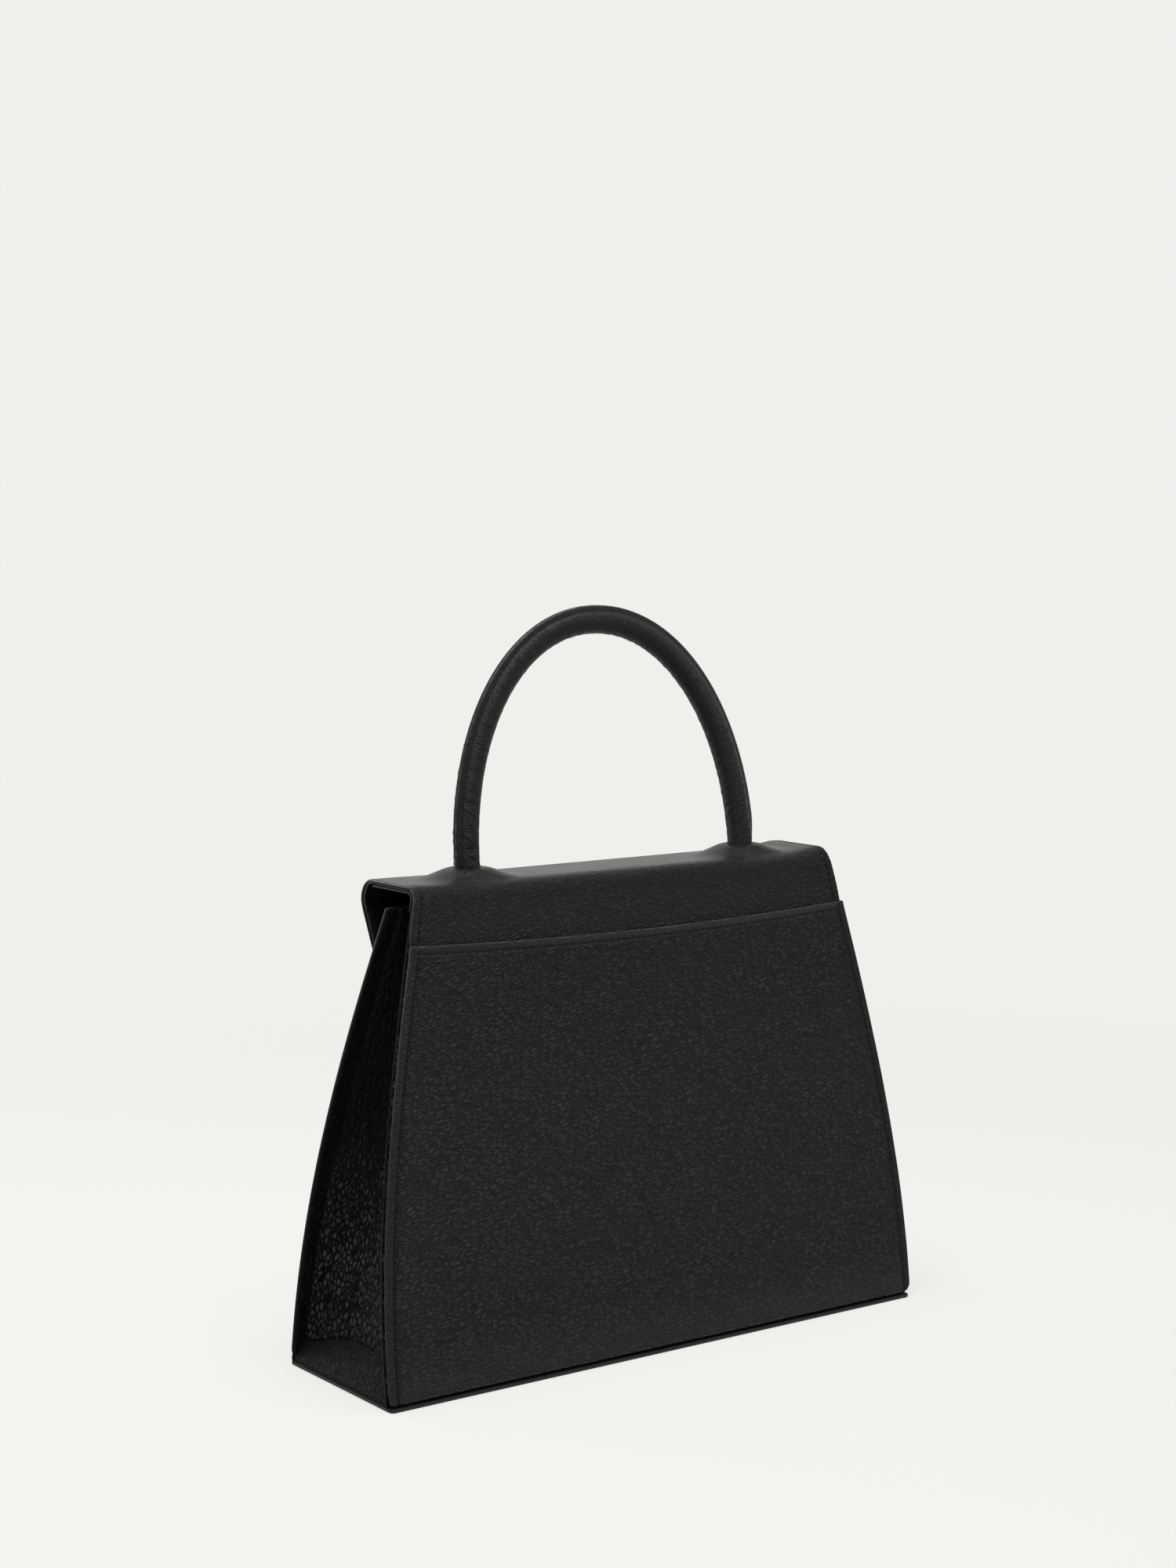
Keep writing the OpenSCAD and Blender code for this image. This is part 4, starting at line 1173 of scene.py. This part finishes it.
fin_o = handle_r + fin_w * (1 - 0.30 * np.abs(across_fin) ** 3) - 0.22 * bell(p, 0.05)
fin_side = np.sign(p) * np.abs(across_fin) ** 0.75 * fin_t / 2
tube_o, tube_w = handle_r * np.cos(p), handle_r * np.sin(p)
o = tube_o + (fin_o - tube_o) * fin * grown
w = tube_w + (fin_side - tube_w) * fin * grown
root = bell(from_fin - fin_root_a, 0.05) * grown
on_side = bell(from_fin - side_a, 0.55)
under = bell(from_fin - np.pi, 0.9)
legs = bell(over_crown, legs_reach)
slant = s + handle_r * from_fin * 0.7 * np.sign(px)[:, None]
pucker = waves(slant, p * 1.3, length=2.3, seed=51) + 0.6 * waves(slant, p * 2.6, length=3.9, seed=52)
wrinkle = wrinkle_h * pucker * (on_side * (0.45 + 1.5 * legs) + 0.55 * under)
wrinkle = wrinkle + 0.05 * waves(s, p * 5, length=9, seed=53)
ease = part((over_crown + 1) / 3)
radius = 1 + (wrinkle * ease * (1 - fin) - root_deep * root) / handle_r


def arch_points(o, w):
    """Points round the arch from their outward and sideways sizes, turned a little so that
    the fin lies to the rear. The arch leans to the flap above the cones of the crown."""
    cos, sin = math.cos(fin_turn), math.sin(fin_turn)
    o, w = o * cos - w * sin, o * sin + w * cos
    y = handle_y - np.maximum(0, pz - tent_top) * math.tan(handle_lean)
    return np.stack([px[:, None] + o * out_x[:, None], y[:, None] + w,
                     pz[:, None] + o * out_z[:, None]], -1)


tube_share = 1 - sleeve_t / handle_r
skin, bore = arch_points(o * radius, w * radius), arch_points(tube_o * tube_share, tube_w * tube_share)
count = arch_rows * ring_points
ring = np.arange(count).reshape(arch_rows, ring_points)
beside = np.roll(ring, -1, 1)
outer = np.stack([ring[:-1], beside[:-1], beside[1:], ring[1:]], -1).reshape(-1, 4)
start = np.stack([ring[0], ring[0] + count, beside[0] + count, beside[0]], -1)
stop = np.stack([ring[-1], beside[-1], beside[-1] + count, ring[-1] + count], -1)
uv = np.stack(np.broadcast_arrays(p * handle_r + 900, s), -1).reshape(-1, 2)
ridge = (0.95 * fin * grown * np.exp(-(p / 0.25) ** 4)).ravel()
bend = np.broadcast_to(0.75 * (on_side + under) * (1 - fin), ring.shape).ravel()
cover = add_piece("handle_leather_cover", np.concatenate([skin.reshape(-1, 3), bore.reshape(-1, 3)]),
                  np.concatenate([outer, (outer + count)[:, ::-1], start, stop]), handle_leather,
                  np.concatenate([uv, uv]), edge=np.concatenate([ridge, ridge * 0]),
                  bend=np.concatenate([bend, bend * 0]))
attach(cover, "crown")
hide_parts("handle_cover")


# Stitches
# Waxed black thread in short slanted stitches, 4 mm apart, down the sides of both walls,
# along the open edges, round the flap and along the foot of the handle's fin.
stitch_half = 1.55
thread_r = 0.30
thread_in = 0.34
pocket_thread_in = 0.22
front_thread_in = 0.2
flap_thread_in = 0.26
stitch_slant = 0.10
mouth_gap = 0.8
thread, tree = new_finish("waxed_thread")
place = wire(tree, "ShaderNodeTexCoord").outputs["Object"]
ply = wire(tree, "ShaderNodeTexWave", [("Vector", place), ("Scale", 900.0),
           ("Distortion", 1.5)]).outputs["Fac"]
shade = tint(tree, ply, (0.004, 0.0038, 0.0036, 1), (0.010, 0.0095, 0.0095, 1))
surface(tree, shade, sums(tree, "MULTIPLY_ADD", ply, 0.12, 0.5), raised(tree, ply, 0.00006),
        ("Specular IOR Level", 0.1))


def unit(v):
    """Rows of a table as unit vectors."""
    return v / np.linalg.norm(v, axis=1, keepdims=True)


def thread_run(name, path, up):
    """Stitches along a path of points: a small capsule at each pitch, turned a little across
    the line, half sunk in its groove. up is the leather's normal, one or at each point."""
    up = np.broadcast_to(up, path.shape)
    run = run_along(path)
    at = np.arange(stitch_pitch / 2, run[-1] - stitch_pitch / 4, stitch_pitch)
    centre, top, before, after = (
        np.stack([np.interp(at + off, run, q[:, k]) for k in range(3)], 1)
        for q, off in ((path, 0), (up, 0), (path, -0.5), (path, 0.5)))
    top = unit(top)
    ahead = after - before
    ahead = unit(ahead - top * np.sum(ahead * top, 1, keepdims=True))
    ahead = unit(ahead + stitch_slant * np.cross(top, ahead))
    side = np.cross(top, ahead)
    along, girth, sunk = np.array([[-1, 0.4, -0.9], [-0.82, 0.85, -0.35], [0, 1, 0],
                                   [0.82, 0.85, -0.35], [1, 0.4, -0.9]]).T[:, :, None]
    a = 2 * np.pi * np.arange(6) / 6
    local = np.stack([along * stitch_half + 0 * a, girth * thread_r * np.cos(a),
                      girth * thread_r * np.sin(a) + sunk * thread_r], -1).reshape(-1, 3)
    points = centre[:, None] + local @ np.stack([ahead, side, top], 1)
    k = np.arange(30).reshape(5, 6)
    j = np.roll(k, -1, 1)
    quads = np.concatenate([np.stack([k[:-1], j[:-1], j[1:], k[1:]], -1).reshape(-1, 4),
                            [[3, 2, 1, 0], [5, 4, 3, 0], [24, 25, 26, 27], [24, 27, 28, 29]]])
    quads = (quads[None] + 30 * np.arange(len(at))[:, None, None]).reshape(-1, 4)
    piece = add_piece(name, points.reshape(-1, 3), quads, thread)
    return piece


rear_n = np.array([0, math.cos(rear_lean), math.sin(rear_lean)])
for name, sign, spread in (("left", 1, edge_spread), ("right", -1, edge_spread + far_spread)):
    z = np.arange(foot_z + 1, pocket_h - 1, 0.5)
    path = rear_at(sign * (half_width(z) + spread - seam_at), z, thread_in)
    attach(thread_run("pocket_side_stitches_" + name, path, rear_n), "bag_body")
    z = np.arange(pocket_h + 1.5, rear_top_z - 3, 0.5)
    width = half_width(z) - panel_step + spread + crown_spread(z)
    path = rear_at(sign * (width - seam_at), z, panel_at + thread_in)
    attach(thread_run("rear_side_stitches_" + name, path, rear_n), "bag_body")
    z = np.arange(foot_z + 1, front_h - 1, 0.5)
    path = front_at(sign * (front_half_width(z) - seam_at), z, thread_in)
    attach(thread_run("front_side_stitches_" + name, path, front_n), "front")

span = half_width(pocket_h) - seam_at - mouth_gap
x = np.linspace(span, -span, 600)
path = rear_at(x, pocket_mouth_z(x) - pocket_seam_at, pocket_thread_in)
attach(thread_run("pocket_mouth_stitches", path, rear_n), "bag_body")
span = half_width(front_h) - seam_at - mouth_gap
x = np.linspace(span, -span, 600)
path = front_at(x, np.full_like(x, front_h - pocket_seam_at), front_thread_in)
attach(thread_run("front_mouth_stitches", path, front_n), "front")

r = flap_corner_r - seam_at
s_side = np.arange(flap_to + 3, flap_length - flap_corner_r, 0.5)
edge_x = flap_half_width(height_on(flap_line, s_side)) - seam_at
turn = np.linspace(0, np.pi / 2, 40)[1:]
corner_x = edge_x[-1] - r * (1 - np.cos(turn))
corner_s = flap_length - flap_corner_r + r * np.sin(turn)
path_x = np.concatenate([edge_x, corner_x, np.linspace(corner_x[-1], 0, 150)[1:]])
path_s = np.concatenate([s_side, corner_s, np.full(149, corner_s[-1])])
path_x, path_s = np.concatenate([path_x, -path_x[-2::-1]]), np.concatenate([path_s, path_s[-2::-1]])
flap_n = np.stack([0 * path_s] + [np.interp(path_s, flap_line[0], flap_line[k]) for k in (3, 4)], 1)
stitches = thread_run("flap_stitches", on_line(flap_line, path_s, path_x, flap_thread_in), flap_n)
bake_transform(stitches)

on_fin = np.ones((arch_rows, 1))
for name, sign in (("rear", 1), ("front", -1)):
    path = arch_points(on_fin * (handle_r + 0.30), on_fin * sign * (fin_t / 2 + 0.02))[22:-22, 0]
    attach(thread_run("handle_stitches_" + name, path, np.array([0, sign, 0.0])), "crown")


# Boards, handle core, anchors and magnets
# The stiffening inside the leather: black fibre boards, a pale plastic tube in the handle,
# and plated steel plates, studs and magnets. They are glued in before the seams are sewn.
def plain_finish(name, low, high, scale, gloss, bump, metal=0.0, streak=(1, 1, 1)):
    """A rigid material with uneven tone, roughness and a slight surface relief."""
    made, tree = new_finish(name)
    place = wire(tree, "ShaderNodeTexCoord").outputs["Object"]
    drawn = wire(tree, "ShaderNodeMapping", [("Vector", place), ("Scale", streak)]).outputs[0]
    noise = cloud(tree, drawn, scale, 6.0, ("Roughness", 0.65))
    shade = tint(tree, ramp(tree, noise, 0.3, 0.7), low + (1,), high + (1,))
    surface(tree, shade, sums(tree, "MULTIPLY_ADD", noise, 0.16, gloss), raised(tree, noise, bump),
            ("Metallic", metal))
    return made


board = plain_finish("fibre_board", (0.006, 0.0057, 0.0055), (0.013, 0.0125, 0.012), scale=900,
                     gloss=0.85, bump=0.00008, streak=(1, 3, 3))
tube = plain_finish("core_plastic", (0.62, 0.60, 0.55), (0.70, 0.68, 0.63), scale=260, gloss=0.38,
                    bump=0.00003)
steel = plain_finish("plated_steel", (0.50, 0.50, 0.51), (0.62, 0.62, 0.63), scale=1400, gloss=0.24,
                     bump=0.00002, metal=1.0, streak=(1, 12, 1))
rows = np.linspace(fold_to + 0.4, rear_length, 24)
share = np.linspace(1, -1, 121)
x = (crown_half_width(rows) - strip_inset)[:, None] * share
s = np.repeat(rows[:, None], len(share), 1)
crown_board = sheet_piece("crown_board_sheet", on_line(rear_line, s, x, leather_t + glue_gap + crown_low(x)),
                          board_t - 2 * glue_gap, board, np.stack([x, s], -1), cut_rows=(0, -1))
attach(crown_board, "crown")
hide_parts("crown_board")
finishes = {"handle_core": tube, "handle_anchors": steel, "front_magnet": steel, "flap_magnet": steel}
for name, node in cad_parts.items():
    if not node.hide_render:
        finish = finishes.get(name, board)
        if not node.material_slots:
            node.data.materials.append(finish)
        for held in node.material_slots:
            held.material = finish


# Studio
# A pale floor that fades into an equally pale background, one large soft lamp above, two
# smaller ones at the side and behind, and the camera where the photograph was taken from.
PALE = (0.866, 0.866, 0.842, 1.0)
floor_reach = 30000
floor_lines = 31
floor_down = 0.05


def plain_view(tree):
    """Share of light that shows the plain background: rays of the camera, gloss and glass."""
    path = wire(tree, "ShaderNodeLightPath").outputs
    return sums(tree, "MAXIMUM", sums(tree, "MAXIMUM", path["Is Camera Ray"], path["Is Glossy Ray"]),
                path["Is Transmission Ray"])


world = bpy.data.worlds.new("studio")
bpy.context.scene.world = world
world.use_nodes = True
tree = world.node_tree
tree.nodes.clear()
dim = wire(tree, "ShaderNodeBackground", [("Color", (0.62, 0.62, 0.63, 1)), ("Strength", 0.22)])
pale = wire(tree, "ShaderNodeBackground", [("Color", PALE), ("Strength", 1.0)])
mixed = wire(tree, "ShaderNodeMixShader", [(0, plain_view(tree)), (1, dim.outputs[0]), (2, pale.outputs[0])])
wire(tree, "ShaderNodeOutputWorld", [("Surface", mixed.outputs[0])])

floor_mat, tree = new_finish("pale_floor")
place = wire(tree, "ShaderNodeTexCoord").outputs["Object"]
far = vectors(tree, "LENGTH", (0, place))["Value"]
shade = tint(tree, cloud(tree, place, 40.0, 3.0), (0.80, 0.80, 0.78, 1), (0.82, 0.82, 0.80, 1))
matt = wire(tree, "ShaderNodeBsdfPrincipled", [("Base Color", shade), ("Roughness", 0.9),
            ("Specular IOR Level", 0.1)])
glow = wire(tree, "ShaderNodeEmission", [("Color", PALE), ("Strength", 1.0)])
share = sums(tree, "MULTIPLY", plain_view(tree), ramp(tree, far, 0.25, 1.1, 0.8, 1.0))
mixed = wire(tree, "ShaderNodeMixShader", [(0, share), (1, matt.outputs[0]), (2, glow.outputs[0])])
wire(tree, "ShaderNodeOutputMaterial", [("Surface", mixed.outputs[0])])
side = np.linspace(-floor_reach, floor_reach, floor_lines)
gx, gy = np.meshgrid(side, side)
floor = add_piece("floor", np.stack([gx, gy, 0 * gx - floor_down], -1).reshape(-1, 3),
                  grid_quads(floor_lines, floor_lines), floor_mat)


def soft_lamp(name, place, aim, width, height, power):
    """A large area lamp at a place, turned to a point."""
    data = bpy.data.lights.new(name, "AREA")
    data.shape = "RECTANGLE"
    data.size, data.size_y, data.energy = width, height, power
    lamp = bpy.data.objects.new(name, data)
    lamp.location = place
    lamp.visible_camera = False
    lamp.rotation_euler = (aim - lamp.location).to_track_quat("-Z", "Y").to_euler()
    bpy.context.scene.collection.objects.link(lamp)


middle_point = (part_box("rear_board")[0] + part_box("rear_board")[1]) / 2
soft_lamp("top_lamp", (0.15, 0.2, 1.5), middle_point, width=1.1, height=0.9, power=27.0)
soft_lamp("side_lamp", (-1.1, 1.1, 0.35), middle_point, width=0.8, height=0.8, power=5.0)
soft_lamp("back_lamp", (0.62, -1.30, 0.45), middle_point, width=0.6, height=0.6, power=9.0)

yaw, pitch, roll = (math.radians(v) for v in (35.7736, 5.2594, -0.1789))
ahead = np.array([-math.sin(yaw) * math.cos(pitch), -math.cos(yaw) * math.cos(pitch), -math.sin(pitch)])
level_right = np.array([-math.cos(yaw), math.sin(yaw), 0.0])
level_up = np.cross(level_right, ahead)
right = math.cos(roll) * level_right + math.sin(roll) * level_up
above = math.cos(roll) * level_up - math.sin(roll) * level_right
camera_data = bpy.data.cameras.new("camera")
camera_data.sensor_fit = "AUTO"
camera_data.sensor_width = 36.0
camera_data.lens = 61.04
camera = bpy.data.objects.new("camera", camera_data)
camera.matrix_world = Matrix([[right[k], above[k], -ahead[k], 0] for k in range(3)] + [[0, 0, 0, 1]])
camera.location = (0.7816, 1.0648, 0.39995)
bpy.context.scene.collection.objects.link(camera)
bpy.context.scene.camera = camera
bpy.context.scene.view_settings.view_transform = "Standard"
